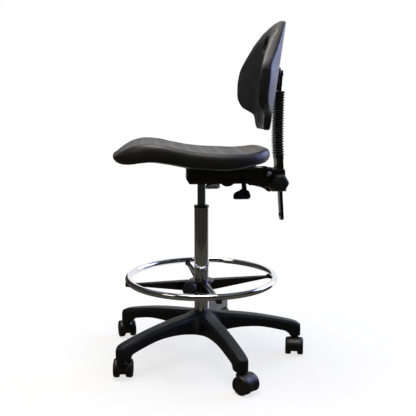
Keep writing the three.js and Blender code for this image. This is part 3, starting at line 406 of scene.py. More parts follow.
def camera_or_mirror_ray(tree):
    """One for rays from the camera, from a reflection or through something clear, and zero for the rest."""
    camera_ray = add_node(tree, "ShaderNodeLightPath", output="Is Camera Ray")
    glossy_ray = add_node(tree, "ShaderNodeLightPath", output="Is Glossy Ray")
    through_ray = add_node(tree, "ShaderNodeLightPath", output="Is Transmission Ray")
    mirrored = add_node(tree, "ShaderNodeMath", {"operation": "MAXIMUM"}, {0: glossy_ray, 1: through_ray})
    return add_node(tree, "ShaderNodeMath", {"operation": "MAXIMUM"}, {0: camera_ray, 1: mirrored})


# %% [markdown]
# The floor is lit paper near the chair, so it takes the chair's soft shadow. Further out it turns into the
# white of the backdrop for the camera and for reflections, so that there is no horizon. For the light
# that it throws back up it is a dull grey, because black plastic loses its depth over a glowing floor.

# %% Floor
FLOOR_RADIUS, UNDER_FEET = 9.0, -0.0005
LIT_TO, WHITE_FROM, LIT_SHARE = 0.35, 0.95, 0.74
deselect_all()
bpy.ops.mesh.primitive_circle_add(
    vertices=96, radius=FLOOR_RADIUS, fill_type="NGON", location=(0, 0, UNDER_FEET)
)
floor = bpy.context.object
floor.name = "studio_floor"
floor_paper, tree, shader = new_material("matte_white_paper", Roughness=0.9, Specular_IOR_Level=0.1)
where = add_node(tree, "ShaderNodeTexCoord", output="Object")
mottle = add_node(tree, "ShaderNodeTexNoise", None, {"Vector": where, "Scale": 3.0})
paper = add_node(
    tree, "ShaderNodeMix", {"data_type": "RGBA"}, {0: mottle, 6: colour("#fafafa"), 7: colour("#ffffff")}, 2
)
distance = add_node(tree, "ShaderNodeVectorMath", {"operation": "LENGTH"}, {0: where}, "Value")
fade = add_node(
    tree, "ShaderNodeMapRange", {"interpolation_type": "SMOOTHSTEP"},
    {"Value": distance, "From Min": LIT_TO, "From Max": WHITE_FROM, "To Min": LIT_SHARE, "To Max": 1.0},
)
seen = camera_or_mirror_ray(tree)
lit = add_node(tree, "ShaderNodeMix", {"data_type": "RGBA"}, {0: seen, 6: colour("#6c6a64"), 7: paper}, 2)
tree.links.new(lit, shader.inputs["Base Color"])
share = add_node(tree, "ShaderNodeMath", {"operation": "MULTIPLY"}, {0: seen, 1: fade})
backdrop = add_node(tree, "ShaderNodeEmission", None, {"Color": colour("#ffffff"), "Strength": 1.0})
surface = add_node(tree, "ShaderNodeMixShader", None, {0: share, 1: shader.outputs[0], 2: backdrop})
tree.links.new(surface, tree.nodes["Material Output"].inputs["Surface"])
floor.data.materials.append(floor_paper)
print("floor radius:", FLOOR_RADIUS, "m")

# %% [markdown]
# The world is white for the camera and in reflections, and a plain soft light for everything else. Later,
# a large lamp overhead shapes the black forms, and a cool one behind the chair draws the blue edge that
# daylight gives to the back of the shell and the seat.

# %% World
world = bpy.data.worlds.new("white_studio")
bpy.context.scene.world = world
world.use_nodes = True
tree = world.node_tree
tree.nodes.clear()
soft_light = add_node(tree, "ShaderNodeBackground", None, {"Color": colour("#f2f4f8"), "Strength": 0.15})
white = add_node(tree, "ShaderNodeBackground", None, {"Color": colour("#ffffff"), "Strength": 1.0})
sky = add_node(tree, "ShaderNodeMixShader", None, {0: camera_or_mirror_ray(tree), 1: soft_light, 2: white})
add_node(tree, "ShaderNodeOutputWorld", None, {"Surface": sky}, None)
print("world:", world.name, "with", len(tree.nodes), "nodes")

# %% [markdown]
# The cloth is made as a material that glows with its own colours, so its brightness in the chrome does
# not depend on the lamps. The wall and the carpet are whole circles first, and then lose the faces of the
# sector behind the chair.

# %% Studio cloth


def studio_cloth(name, tone, painted_fold_light):
    """Cloth that glows as bright as its colours say, with the light and shade of wide folds painted into the
    glow.
    """
    cloth = bpy.data.materials.new(name)
    cloth.use_nodes = True
    tree = cloth.node_tree
    tree.nodes.clear()
    where = add_node(tree, "ShaderNodeTexCoord", output="Object")
    upright = add_node(tree, "ShaderNodeMapping", None, {"Vector": where, "Scale": (1, 1, 0.05)})
    folds = add_node(tree, "ShaderNodeTexNoise", None, {"Vector": upright, "Scale": 0.7, "Detail": 3})
    spread = add_node(tree, "ShaderNodeMapRange", None, {"Value": folds, "From Min": 0.4, "From Max": 0.6})
    # The noise paints the light and shade of folds between the two colours.
    shade = add_node(
        tree, "ShaderNodeMix", {"data_type": "RGBA"}, {0: spread, 6: colour(tone), 7: colour(painted_fold_light)}, 2
    )
    glow = add_node(tree, "ShaderNodeEmission", None, {"Color": shade})
    add_node(tree, "ShaderNodeOutputMaterial", None, {"Surface": glow}, None)
    return cloth


def open_sector(cloth, start, end):
    """Takes away the faces behind the chair, between two headings in degrees."""
    bpy.ops.object.mode_set(mode="EDIT")
    bpy.ops.mesh.select_all(action="DESELECT")
    mesh = bmesh.from_edit_mesh(cloth.data)
    for face in mesh.faces:
        middle = face.calc_center_median()
        face.select = start < math.degrees(math.atan2(middle.x, middle.y)) < end
    bmesh.update_edit_mesh(cloth.data)
    bpy.ops.mesh.delete(type="FACE")
    bpy.ops.object.mode_set(mode="OBJECT")


print("studio cloth is cut")

# %% [markdown]
# The wall is a cylinder without ends and the ceiling a disc on it. The carpet lies a hair over the floor,
# where only the chrome can see it. All three stay out of every shadow and of every light on the chair.

# %% Wall, ceiling and carpet
WALL_RADIUS, WALL_HEIGHT, OVER_FLOOR = 5.0, 5.0, 0.0004
OPEN_FROM, OPEN_TO = -11, 66
deselect_all()
bpy.ops.mesh.primitive_cylinder_add(
    vertices=120, radius=WALL_RADIUS, depth=WALL_HEIGHT, end_fill_type="NOTHING",
    location=(0, 0, WALL_HEIGHT / 2),
)
wall = bpy.context.object
wall.name = "studio_wall"
open_sector(wall, OPEN_FROM, OPEN_TO)
wall.data.materials.append(studio_cloth("dark_studio_cloth", "#24231f", "#3d3b35"))
glossy_only(wall)
deselect_all()
bpy.ops.mesh.primitive_circle_add(
    vertices=64, radius=WALL_RADIUS, fill_type="NGON", location=(0, 0, WALL_HEIGHT)
)
ceiling = bpy.context.object
ceiling.name = "studio_ceiling"
ceiling.data.materials.append(studio_cloth("grey_studio_ceiling", "#60626a", "#74767e"))
glossy_only(ceiling)
deselect_all()
bpy.ops.mesh.primitive_circle_add(
    vertices=120, radius=WALL_RADIUS, fill_type="TRIFAN", location=(0, 0, OVER_FLOOR)
)
carpet = bpy.context.object
open_sector(carpet, OPEN_FROM, OPEN_TO)
carpet.name = "studio_carpet"
carpet.data.materials.append(studio_cloth("olive_studio_carpet", "#45423a", "#55524a"))
glossy_only(carpet)
print("studio cloth hung, faces of the wall:", len(wall.data.polygons))

# %% [markdown]
# Three area lamps light the chair: a wide one overhead, a small warm one in front, and the cool one
# behind it.

# %% Lamps


def soft_lamp(name, place, aim, size, watts, tone):
    """A rectangular area lamp at a place in metres that looks at an aim."""
    lamp = bpy.data.objects.new(name, bpy.data.lights.new(name, "AREA"))
    bpy.context.scene.collection.objects.link(lamp)
    lamp.data.shape = "RECTANGLE"
    lamp.data.size, lamp.data.size_y = size
    lamp.data.energy = watts
    lamp.data.color = colour(tone)[:3]
    lamp.location = place
    lamp.rotation_mode = "QUATERNION"
    lamp.rotation_quaternion = (Vector(aim) - Vector(place)).to_track_quat("-Z", "Y")
    return lamp


soft_lamp("overhead_lamp", (-0.3, -0.1, 3.2), (0, 0, 0.6), (2.2, 1.4), 95, "#fffaf2")
soft_lamp("front_lamp", (-2.6, -1.6, 2.4), (0, 0, 0.8), (1.0, 1.0), 8, "#fff0dd")
soft_lamp("daylight_lamp", (2.5, 0.9, 1.6), (0, 0, 0.8), (2.2, 1.6), 65, "#aebdff")

# %% [markdown]
# ## Workshop helpers
# Three ways of making cover most pieces of the chair. A turned piece is a profile that is spun around an
# axis. A pressed or cut piece is an outline that is filled and extruded. A swept piece is a bent bar.
# Each starts as one vertex that is extruded from point to point, as it would be drawn by hand.

# %% Draw a chain of edges


def select_only(piece):
    """Makes a piece the one selected and active object."""
    deselect_all()
    piece.select_set(True)
    bpy.context.view_layer.objects.active = piece


def start_chain(points, closed=False):
    """Edit mode on a new object with one vertex, extruded through the points and back to the first."""
    deselect_all()
    bpy.ops.mesh.primitive_plane_add(size=0.01)
    bpy.ops.object.mode_set(mode="EDIT")
    bpy.ops.mesh.merge(type="CENTER")
    bpy.ops.transform.translate(value=points[0])
    for here, there in zip(points, points[1:]):
        bpy.ops.mesh.extrude_region_move(TRANSFORM_OT_translate={"value": Vector(there) - Vector(here)})
    if closed:
        mesh = bmesh.from_edit_mesh(bpy.context.object.data)
        mesh.verts.ensure_lookup_table()
        mesh.edges.new((mesh.verts[-1], mesh.verts[0]))
        bmesh.update_edit_mesh(bpy.context.object.data)
    bpy.ops.mesh.select_all(action="SELECT")


def tidy_surface():
    """Merges doubled vertices and turns all faces outwards, then leaves edit mode."""
    bpy.ops.mesh.select_all(action="SELECT")
    bpy.ops.mesh.remove_doubles(threshold=0.00001)
    bpy.ops.mesh.normals_make_consistent(inside=False)
    bpy.ops.object.mode_set(mode="OBJECT")
    return bpy.context.object


print("chains can be drawn")

# %% [markdown]
# Every moulded, pressed or turned edge is a little round, because a real edge is never sharp. A bevel
# finds the sharp edges by their angle.

# %% Modifiers and edges


def apply_modifier(piece, kind, **settings):
    """Adds a modifier with its settings and applies it at once."""
    bpy.context.view_layer.objects.active = piece
    modifier = piece.modifiers.new(kind.lower(), kind)
    for name, value in settings.items():
        setattr(modifier, name, value)
    bpy.ops.object.modifier_apply(modifier=modifier.name)


def soften_edges(piece, width_mm, segments=2, sharp=0.7):
    """Rounds the edges that turn by more than an angle in radians."""
    apply_modifier(
        piece, "BEVEL", width=width_mm / 1000, segments=segments, limit_method="ANGLE", angle_limit=sharp
    )


print("edges can be softened")

# %% [markdown]
# A turned piece is drawn as [radius, height] points in the xz plane and spun around z. Its axis is then
# laid where the real one runs. A solid piece starts a hundredth of a millimetre from the axis, and the
# doubled vertices there are merged.

# %% Turned pieces
CORE = 0.01
X_AXIS, Y_AXIS, Z_AXIS = (1, 0, 0), (0, 1, 0), (0, 0, 1)


def turned(profile, centre, axis=Z_AXIS, steps=64, bevel_mm=0.0, closed=True):
    """Spins a profile in millimetres about an axis through a drawing point."""
    line = [*profile, profile[0]] if closed else profile
    start_chain([Vector((r / 1000, 0, h / 1000)) for r, h in line])
    bpy.ops.mesh.spin(steps=steps, angle=2 * math.pi, center=(0, 0, 0), axis=Z_AXIS)
    piece = tidy_surface()
    lay = Vector(Z_AXIS).rotation_difference(Vector(axis)).to_matrix().to_4x4()
    piece.data.transform(Matrix.Translation(centre) @ lay)
    if bevel_mm:
        soften_edges(piece, bevel_mm)
    return piece


print("pieces can be turned")

# %% [markdown]
# A plate is an outline on one of the three planes, filled and extruded along the third axis. It is the
# way to make pressed steel, and flat mouldings as well, with a bevel as wide as the real edge is round.
# A corner of the outline can carry a fillet as its third number.

# %% Plates
PLATE_AXES = {"x": (1, 2, 0), "y": (0, 2, 1), "z": (0, 1, 2)}


def rounded(corners, steps=4):
    """An outline of (a, b) or (a, b, fillet) corners in millimetres, with the fillets turned in steps."""
    points = []
    for i, corner in enumerate(corners):
        here = Vector(corner[:2])
        if len(corner) == 2:
            points.append(here)
            continue
        before = Vector(corners[i - 1][:2]) - here
        after = Vector(corners[(i + 1) % len(corners)][:2]) - here
        start, end = here + before.normalized() * corner[2], here + after.normalized() * corner[2]
        for step in range(steps + 1):
            t = step / steps
            points.append(start * (1 - t) ** 2 + here * 2 * t * (1 - t) + end * t * t)
    return points


def filled_and_extruded(points, way):
    """A solid with an outline of frame points, as deep as the vector says."""
    start_chain(points)
    bpy.ops.mesh.edge_face_add()
    bpy.ops.mesh.extrude_region_move(TRANSFORM_OT_translate={"value": way})
    return tidy_surface()


def plate(corners, axis, low, high, bevel_mm=0.5, segments=2, steps=4):
    """Extrudes an outline of corners in millimetres along an axis of the drawing."""
    first, second, along = PLATE_AXES[axis]

    def spot(point, level):
        place = [0.0, 0.0, 0.0]
        place[first], place[second], place[along] = point[0], point[1], level
        return at(*place)

    depth = Vector((0, 0, 0))
    depth[along] = (high - low) / 1000
    piece = filled_and_extruded([spot(p, low) for p in rounded(corners, steps)], depth)
    if bevel_mm:
        soften_edges(piece, bevel_mm, segments, sharp=0.6)
    return piece


print("plates can be cut")

# %% [markdown]
# A moulding whose section changes on its way is an edge chain that is extruded from loop to loop. Each
# vertex of the new loop is then moved to its own place.

# %% Loops


def extruded_through(loops, closed=False):
    """Edit mode on a skin through equal loops of frame points."""
    start_chain(loops[0], closed)
    for before, after in zip(loops, loops[1:]):
        bpy.ops.mesh.extrude_region_move()
        mesh = bmesh.from_edit_mesh(bpy.context.object.data)
        for vertex in mesh.verts:
            if vertex.select:
                nearest = min(range(len(before)), key=lambda i: (before[i] - vertex.co).length_squared)
                vertex.co = after[nearest]
        bmesh.update_edit_mesh(bpy.context.object.data)


def close_ends():
    """Fills the open ends of a closed skin and leaves edit mode."""
    bpy.ops.mesh.select_all(action="SELECT")
    bpy.ops.mesh.fill_holes(sides=0)
    return tidy_surface()


print("skins can be extruded")

# %% [markdown]
# Holes are drilled with a Boolean, and pieces that are welded or moulded together are joined. A cutter is
# thrown away after use.

# %% Cutting and joining


def combine(piece, other, operation):
    """A Boolean of two pieces that uses up the second."""
    apply_modifier(piece, "BOOLEAN", operation=operation, object=other, solver="EXACT")
    bpy.data.objects.remove(other)
    return piece


def cut_out(piece, cutter):
    return combine(piece, cutter, "DIFFERENCE")


def drill(piece, start, end, radius_mm, steps=32):
    """Cuts a round hole between two drawing points."""
    a, b = at(*start), at(*end)
    deselect_all()
    bpy.ops.mesh.primitive_cylinder_add(
        vertices=steps, radius=radius_mm / 1000, depth=(b - a).length, location=(a + b) / 2
    )
    cutter = bpy.context.object
    cutter.rotation_mode = "QUATERNION"
    cutter.rotation_quaternion = (b - a).to_track_quat("Z", "Y")
    bpy.ops.object.transform_apply(location=True, rotation=True, scale=True)
    return cut_out(piece, cutter)


def joined(*pieces):
    """Pieces of one casting or of one assembly as one object."""
    select_only(pieces[0])
    for piece in pieces:
        piece.select_set(True)
    bpy.ops.object.join()
    return bpy.context.object


print("pieces can be cut and joined")

# %% [markdown]
# Every finished piece gets a name and a body to ride on, and the CAD nodes that it stands for are hidden.
# Its finish is the one of its slot, unless it brings another.

# %% Finished pieces


def finished(piece, name, body, slot, *replaced, smooth_deg=35, finish=None):
    """Names a piece, smooths it, gives it its finish and lets it ride on its body, or bakes its place when it
    has two bodies.
    """
    select_only(piece)
    piece.name = piece.data.name = name
    bpy.ops.object.shade_smooth_by_angle(angle=math.radians(smooth_deg))
    piece.data.materials.clear()
    piece.data.materials.append(finish or slot_finish[slot])
    if replaced:
        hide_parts(*replaced)
    if isinstance(body, str):
        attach(piece, body)
    else:
        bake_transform(piece)
    print(name, "has", len(piece.data.polygons), "faces")
    return piece


print("the workshop is ready, slots with a finish:", len(slot_finish))

# %% [markdown]
# ## Gas lift
# The outer tube is chromed steel with a rolled edge at its top, where an acetal bush with a collar guides
# the pressure tube. The pressure tube is ground and blackened, and its top is a taper that wedges into
# the mechanism.

# %% Column tube
column_profile = [(5.3, 96), (24.2, 96), (25, 97), (25, 530.6), (24.6, 532.4), (23.9, 533), (23.2, 532.4),
                  (23.2, 100), (5.3, 100)]
finished(turned(column_profile, ORIGIN, steps=96), "chrome_column", "base", "column_chrome", "column_tube")

# %% [markdown]
# The bush is turned with a step, so its collar sits on the rolled edge while its body fills the tube. The
# pressure tube ends in the short taper that a blow wedges tight.

# %% Guide bush and pressure tube
bush_profile = [(14.4, 423), (22.9, 423), (22.9, 533.3), (25.4, 533.3), (26, 533.9), (26.2, 536),
                (25.8, 538.4), (24.4, 540.2), (22.4, 541), (16.2, 541), (15.2, 540.4), (14.4, 539)]
finished(turned(bush_profile, ORIGIN, steps=72), "column_guide_bush", "base", "bush_nylon", "column_bush")
lift_profile = [(11, 180), (13.4, 180), (14, 180.6), (14, 612), (13.3, 648), (12.6, 649.4), (11.5, 650),
                (3.3, 650), (3.3, 635), (11, 632)]
finished(turned(lift_profile, ORIGIN, steps=72), "pressure_tube", "seat", "lift_steel", "gas_tube")

# %% [markdown]
# ## Seat
# The seat is one foam moulding in the shape of a saddle: it rises towards the knees, rolls over at its
# front edge and curls up a little at the rear. It is made from one square grid. The middle of the grid is
# the top of the seat, its next rings roll over the thick rim, and its outer rings come back under the seat.

# %% Lines of the seat
SEAT_FRONT, SEAT_REAR, SEAT_HALF = -296, 224, 226
SEAT_MIDDLE, HALF_LENGTH = (SEAT_FRONT + SEAT_REAR) / 2, (SEAT_REAR - SEAT_FRONT) / 2
FRONT_POWER, REAR_POWER, REAR_TAPER = 3.4, 2.9, 0.05
seat_top = line_through([(-296, 710), (-288, 723), (-262, 741), (-222, 757), (-187, 762), (-146, 759),
                         (-90, 747), (-25, 735), (50, 729), (117, 728), (160, 733), (196, 743), (211, 745),
                         (224, 742)])
seat_under = line_through([(-296, 701), (-280, 697), (-259, 695), (-237, 697), (-202, 703), (-168, 706),
                           (-129, 702), (-90, 695), (-59, 689), (0, 682), (58, 679), (102, 682), (141, 688),
                           (190, 694), (224, 703)])


def seat_edge(p, q):
    """The outline's point in the direction of a point on the unit square's edge.

    The outline is a superellipse, fuller at the front, and narrows a little towards the rear.
    """
    power = FRONT_POWER if p < 0 else REAR_POWER
    reach = (abs(p) ** power + abs(q) ** power) ** (-1 / power)
    x = SEAT_MIDDLE + HALF_LENGTH * p * reach
    return x, SEAT_HALF * q * reach * (1 - REAR_TAPER * ((x - SEAT_MIDDLE) / (2 * HALF_LENGTH) + 0.5))


print("the seat is", SEAT_REAR - SEAT_FRONT, "mm long and", 2 * SEAT_HALF, "mm wide")

# %% [markdown]
# The top carries moulded grip fields. Each field lies a little lower than the smooth strips between the
# fields, and slots run through it from front to rear, with round ends. The slots of the two rear fields
# stand closer together. The fields end in a smooth border before the rim.

# %% Grip fields
GRIP_FIELDS = [(-248, -206), (-194, -156), (-144, -101), (-89, -51), (-39, -1), (11, 59), (71, 125),
               (137, 192)]
SLOT_HALF, SLOT_DEPTH, FIELD_DEPTH, FIELD_MARK = 5.2, 4.6, 0.8, 0.15


def grip(x, y, half_width):
    """How dark a point of the top is painted, a little in a field and fully in a slot as painted shade, and
    how deep it lies, in millimetres.
    """
    pitch = 56 if x < 65 else 37 if x < 131 else 25
    across = abs(y / pitch - round(y / pitch)) * pitch
    for low, high in GRIP_FIELDS:
        if low - 3 < x < high + 3 and abs(y) < half_width:
            inside = min(x - low, high - x, half_width - abs(y))
            field = smoothstep(-2.5, 2.5, inside - 2)
            slot = math.hypot(across, max(low + 8 - x, x - high + 8, abs(y) - half_width + 14, 0))
            cut = 1 - smoothstep(SLOT_HALF - 1.8, SLOT_HALF + 1.4, slot)
            # A slot takes the full dark colour, which is painted shade in its groove.
            return mix(FIELD_MARK * field, 1, cut), FIELD_DEPTH * field + SLOT_DEPTH * cut
    return 0.0, 0.0


print("fields:", len(GRIP_FIELDS))

# %% [markdown]
# The rings of the grid follow one profile, from the middle of the top, over the rim and back to the
# middle of the underside. The rim is a squarish arc: it turns down tightly at the top edge, stands nearly
# upright and turns in again below.

# %% Profile of the seat
RIM_IN, RIM_UNDER = 0.11, 0.06
TOP_RINGS, RIM_RINGS = 0.72, 0.94
SEAT_SAG, SAG_HALF = 6, 190
SEAT_BED, BED_DEPTH = 680.3, 9
BORDER, BORDER_POWER, BORDER_REACH = 44, 3.2, 262


def field_half_width(x):
    """Half of the width that the grip fields may take at a place along the seat."""
    off = abs(x - SEAT_MIDDLE)
    if off >= BORDER_REACH:
        return -BORDER
    return SEAT_HALF * (1 - (off / BORDER_REACH) ** BORDER_POWER) ** (1 / BORDER_POWER) - BORDER


def seat_point(u, v):
    """The place of a grid vertex, and how dark it is painted: a little in a grip field, fully in a slot as
    painted shade.
    """
    ring = max(abs(u), abs(v))
    if ring < 1e-6:
        return at(SEAT_MIDDLE, 0, seat_top(SEAT_MIDDLE) - SEAT_SAG), 0.0
    edge_x, edge_y = seat_edge(u / ring, v / ring)

    def on_top(share):
        x, y = mix(SEAT_MIDDLE, edge_x, share), edge_y * share
        return x, y, seat_top(x) - SEAT_SAG * (1 - min(abs(y) / SAG_HALF, 1) ** 2)

    if ring <= TOP_RINGS:
        share = (1 - RIM_IN) * ring / TOP_RINGS
        x, y, z = on_top(share)
        field, depth = grip(x, y, field_half_width(x)) if share < 0.86 else (0.0, 0.0)
        return at(x, y, z - depth), field
    turn = math.radians(mix(90, -90, min((ring - TOP_RINGS) / (RIM_RINGS - TOP_RINGS), 1)))
    out, up = max(math.cos(turn), 0) ** 0.72, abs(math.sin(turn)) ** 0.9
    inset = RIM_IN if turn > 0 else RIM_UNDER
    share = 1 - inset * (1 - out)
    x, y, top = on_top(share)
    under = seat_under(x)
    middle = mix(seat_under(edge_x), on_top(1 - RIM_IN)[2], 0.5)
    if ring <= RIM_RINGS:
        return at(x, y, mix(middle, top if turn > 0 else under, up)), 0.0
    inward = (ring - RIM_RINGS) / (1 - RIM_RINGS)
    x, y = mix(SEAT_MIDDLE, edge_x, share - 0.4 * inward), edge_y * (share - 0.4 * inward)
    bed = max(SEAT_BED, seat_under(x) - BED_DEPTH)
    return at(x, y, mix(seat_under(x), bed, smoothstep(0.25, 0.8, inward))), 0.0


print("the middle of the seat is at", seat_point(0, 0)[0])

# %% [markdown]
# Its open middle below is closed with one face, which lies on the pan.

# %% Seat moulding
fine = 300
deselect_all()
bpy.ops.mesh.primitive_grid_add(x_subdivisions=fine, y_subdivisions=fine, size=2)
seat = bpy.context.object
field_tone_and_slot_shade_layer = seat.data.attributes.new("field_tone_and_slot_shade", "FLOAT", "POINT")
for i, vertex in enumerate(seat.data.vertices):
    vertex.co, field_tone_and_slot_shade_layer.data[i].value = seat_point(vertex.co.x, vertex.co.y)
bpy.ops.object.mode_set(mode="EDIT")
bpy.ops.mesh.select_mode(type="VERT")
bpy.ops.mesh.select_all(action="DESELECT")
bpy.ops.mesh.select_non_manifold()
bpy.ops.mesh.edge_face_add()
tidy_surface()
finished(seat, "seat_moulding", "seat", "seat_skin", "seat", smooth_deg=60)

# %% [markdown]
# ## Backrest
# The backrest is a shield that wraps round the back: a middle band, two wings that fold forward at a soft
# crease, and a tail below that narrows to its foot. It is made from a square grid as the seat is. The
# middle of the grid is the front of the shield, its next rings turn over the rim, and its outer rings
# close the rear.

# %% Lines of the backrest
BACK_BOTTOM, BACK_TOP, BACK_MIDDLE, CREASE = 796, 1150, 955, 103
back_half = line_through([(796, 66), (804, 80), (818, 88), (832, 96), (845, 115), (855, 148), (865, 180),
                          (880, 201), (895, 214), (912, 220), (950, 222), (985, 220), (1000, 215),
                          (1015, 205), (1030, 191), (1060, 166), (1090, 144), (1105, 132), (1122, 112),
                          (1138, 84), (1147, 56), (1150, 30)])
crease_x = line_through([(796, 195), (860, 193.5), (955, 196.5), (1040, 199.5), (1078, 203), (1110, 219),
                         (1150, 249)])
back_sag = line_through([(796, 7), (860, 10), (940, 17), (1060, 22), (1100, 16), (1150, 2)])
wing_fold = line_through([(796, 0.384), (950, 0.384), (985, 0.35), (1030, 0.31), (1045, 0.28),
                          (1060, 0.22), (1075, 0.14), (1090, 0.06), (1105, 0.01), (1150, 0.0)])
rear_radius = line_through([(796, 407), (950, 407), (1017, 365), (1150, 330)])
REAR_FOOT_X, REAR_FOOT_Z, REAR_LEAN = 232.2, 844, 0.144


def back_front(y, z):
    """The front surface: the band sags between the creases, and the wings come forward outside them."""
    beyond = abs(y) - CREASE
    band = crease_x(z) + back_sag(z) * (1 - min(abs(y) / CREASE, 1) ** 1.5)
    wing = crease_x(z) - wing_fold(z) * beyond
    return mix(band, wing, smoothstep(-4, 4, beyond))


def back_rear(y, z):
    """The rear surface: it leans back as it rises, and curves forward to both sides."""
    return REAR_FOOT_X + REAR_LEAN * (z - REAR_FOOT_Z) - y * y / (2 * rear_radius(z))


middle_mm = back_rear(0, BACK_MIDDLE) - back_front(0, BACK_MIDDLE)
print("the backrest is", round(middle_mm, 1), "mm thick in its middle")

# %% [markdown]
# Near its top the shield has a hand slot, whose edge dips before the hole. The tail has two rows of grip
# slots, as the seat has in its fields.

# %% Details of the front
HAND_Z, HAND_HALF, HAND_HEIGHT, HAND_FILLET, HAND_DIP = 1076, 54, 46, 13, 3
GRIP_END, GRIP_DEPTH = 4, 7
GRIP_SLOTS = [(y, low, high) for y in (-34, 0, 34) for low, high in ((815, 858), (878, 904))]


def front_relief(y, z):
    """How dark a point of the front is painted as shade in a grip slot, and how far it lies behind the plain
    surface.
    """
    over = max(abs(z - HAND_Z) - HAND_HEIGHT / 2 + HAND_FILLET, 0)
    from_hole = math.hypot(max(abs(y) - HAND_HALF + HAND_FILLET, 0), over) - HAND_FILLET
    dip = HAND_DIP * (1 - smoothstep(-1, 9, from_hole)) ** 1.5
    for slot_y, low, high in GRIP_SLOTS:
        off = math.hypot(y - slot_y, max(low + GRIP_END - z, z - high + GRIP_END, 0))
        if off < 9:
            # The slot is painted dark, as painted shade in its groove.
            cut = 1 - smoothstep(4.6, 7.2, off)
            return cut, dip + GRIP_DEPTH * cut
    return 0.0, dip


print("grip slots in the tail:", len(GRIP_SLOTS))

# %% [markdown]
# The rings of the grid follow one profile here too. Its rim turns in an arc from the front surface to the
# rear surface, rounder towards the edge than towards the faces.

# %% Profile of the backrest
BACK_IN, BACK_OUT = 0.07, 0.05
FRONT_RINGS, EDGE_RINGS = 0.58, 0.74


def back_point(u, v):
    """The place of a grid vertex, and how dark it is painted as shade in a grip slot."""
    ring = max(abs(u), abs(v), 1e-6)
    p, q = u / ring, v / ring
    edge_z = mix(BACK_BOTTOM, BACK_TOP, (q + 1) / 2)
    edge_y = p * back_half(edge_z)

    def on_shield(share):
        return edge_y * share, mix(BACK_MIDDLE, edge_z, share)

    if ring <= FRONT_RINGS:
        y, z = on_shield((1 - BACK_IN) * ring / FRONT_RINGS)
        cut, depth = front_relief(y, z)
        return at(back_front(y, z) + depth, y, z), cut
    if ring <= EDGE_RINGS:
        turn = math.radians(mix(90, -90, (ring - FRONT_RINGS) / (EDGE_RINGS - FRONT_RINGS)))
        out, up = max(math.cos(turn), 0) ** 0.52, abs(math.sin(turn)) ** 0.75
        y, z = on_shield(1 - (BACK_IN if turn > 0 else BACK_OUT) * (1 - out))
        front, rear = back_front(y, z), back_rear(y, z)
        middle = mix(front, rear, 0.5)
        return at(mix(middle, front if turn > 0 else rear, up), y, z), 0.0
    y, z = on_shield((1 - BACK_OUT) * (1 - ring) / (1 - EDGE_RINGS))
    return at(back_rear(y, z), y, z), 0.0


print("the middle of the backrest's front is at", back_point(0, 0)[0])

# %% [markdown]
# The hand slot goes right through, so it is cut with a rounded block once the shield is closed. The dip
# round it is already in the grid, because a cutter would leave a sharp edge there.

# %% Backrest moulding
fine = 280
deselect_all()
bpy.ops.mesh.primitive_grid_add(x_subdivisions=fine, y_subdivisions=fine, size=2)
backrest = bpy.context.object
field_tone_and_slot_shade_layer = backrest.data.attributes.new("field_tone_and_slot_shade", "FLOAT", "POINT")
for i, vertex in enumerate(backrest.data.vertices):
    vertex.co, field_tone_and_slot_shade_layer.data[i].value = back_point(vertex.co.x, vertex.co.y)
bpy.ops.object.mode_set(mode="EDIT")
tidy_surface()
hand_low, hand_high = HAND_Z - HAND_HEIGHT / 2, HAND_Z + HAND_HEIGHT / 2
hand_slot = plate([(-HAND_HALF, hand_low, HAND_FILLET), (HAND_HALF, hand_low, HAND_FILLET),
                   (HAND_HALF, hand_high, HAND_FILLET), (-HAND_HALF, hand_high, HAND_FILLET)],
                  "x", 150, 330, 0, steps=8)
cut_out(backrest, hand_slot)
finished(backrest, "backrest_moulding", "upright", "backrest_skin", "backrest", smooth_deg=50)

# %% [markdown]
# ## Five-arm base
# The base is one nylon moulding. Half of a fifth of it is drawn as a coarse cage: loops across the arm,
# from the valley beside the hub to the round end over the castor. A loop runs from the middle of the flat
# top over the chamfer and down the wall. The cage is mirrored and turned round the column, a Subdivision
# Surface softens it, and a Solidify gives it its wall.

# %% Lines of an arm
BASE_TURN, STEM_CIRCLE, ARM_END = -2, 331, 22
arm_top = line_through([(20, 168), (60, 164), (120, 158), (184, 151), (262, 137), (320, 124), (340, 117),
                        (352, 108)])
arm_under = line_through([(20, 102), (81, 106), (158, 114), (211, 112), (262, 100), (300, 90), (309, 86),
                          (312, 71.5), (352, 70.5)])
arm_half = line_through([(60, 30.5), (120, 29.3), (240, 26), (331, 22)])


def arm_loop(r):
    """Half of a loop at a distance from the column, in millimetres along, across and up."""
    top, under, half = arm_top(r), arm_under(r), arm_half(r)
    if r > STEM_CIRCLE:
        half = math.sqrt(max(ARM_END**2 - (r - STEM_CIRCLE) ** 2, 4))
    section = [(0, top), (0.56, top), (0.67, top - 0.9), (0.93, top - 8.5), (0.99, top - 13),
               (1, mix(top, under, 0.62)), (0.99, mix(top, under, 0.88)), (0.98, under + 2.5), (0.94, under)]
    return [(r, half * share, z) for share, z in section]


print("an arm is", 2 * arm_half(120), "mm wide near the hub,", 2 * arm_half(STEM_CIRCLE), "mm at its end")

# %% [markdown]
# The first loop of the cage is the valley between two arms. It starts at the hub over the arm's middle,
# swings out to the border of the fifth, which lies 36 degrees from the arm, and falls along it. The
# second loop is the arm's root, where its walls come out of the valley.

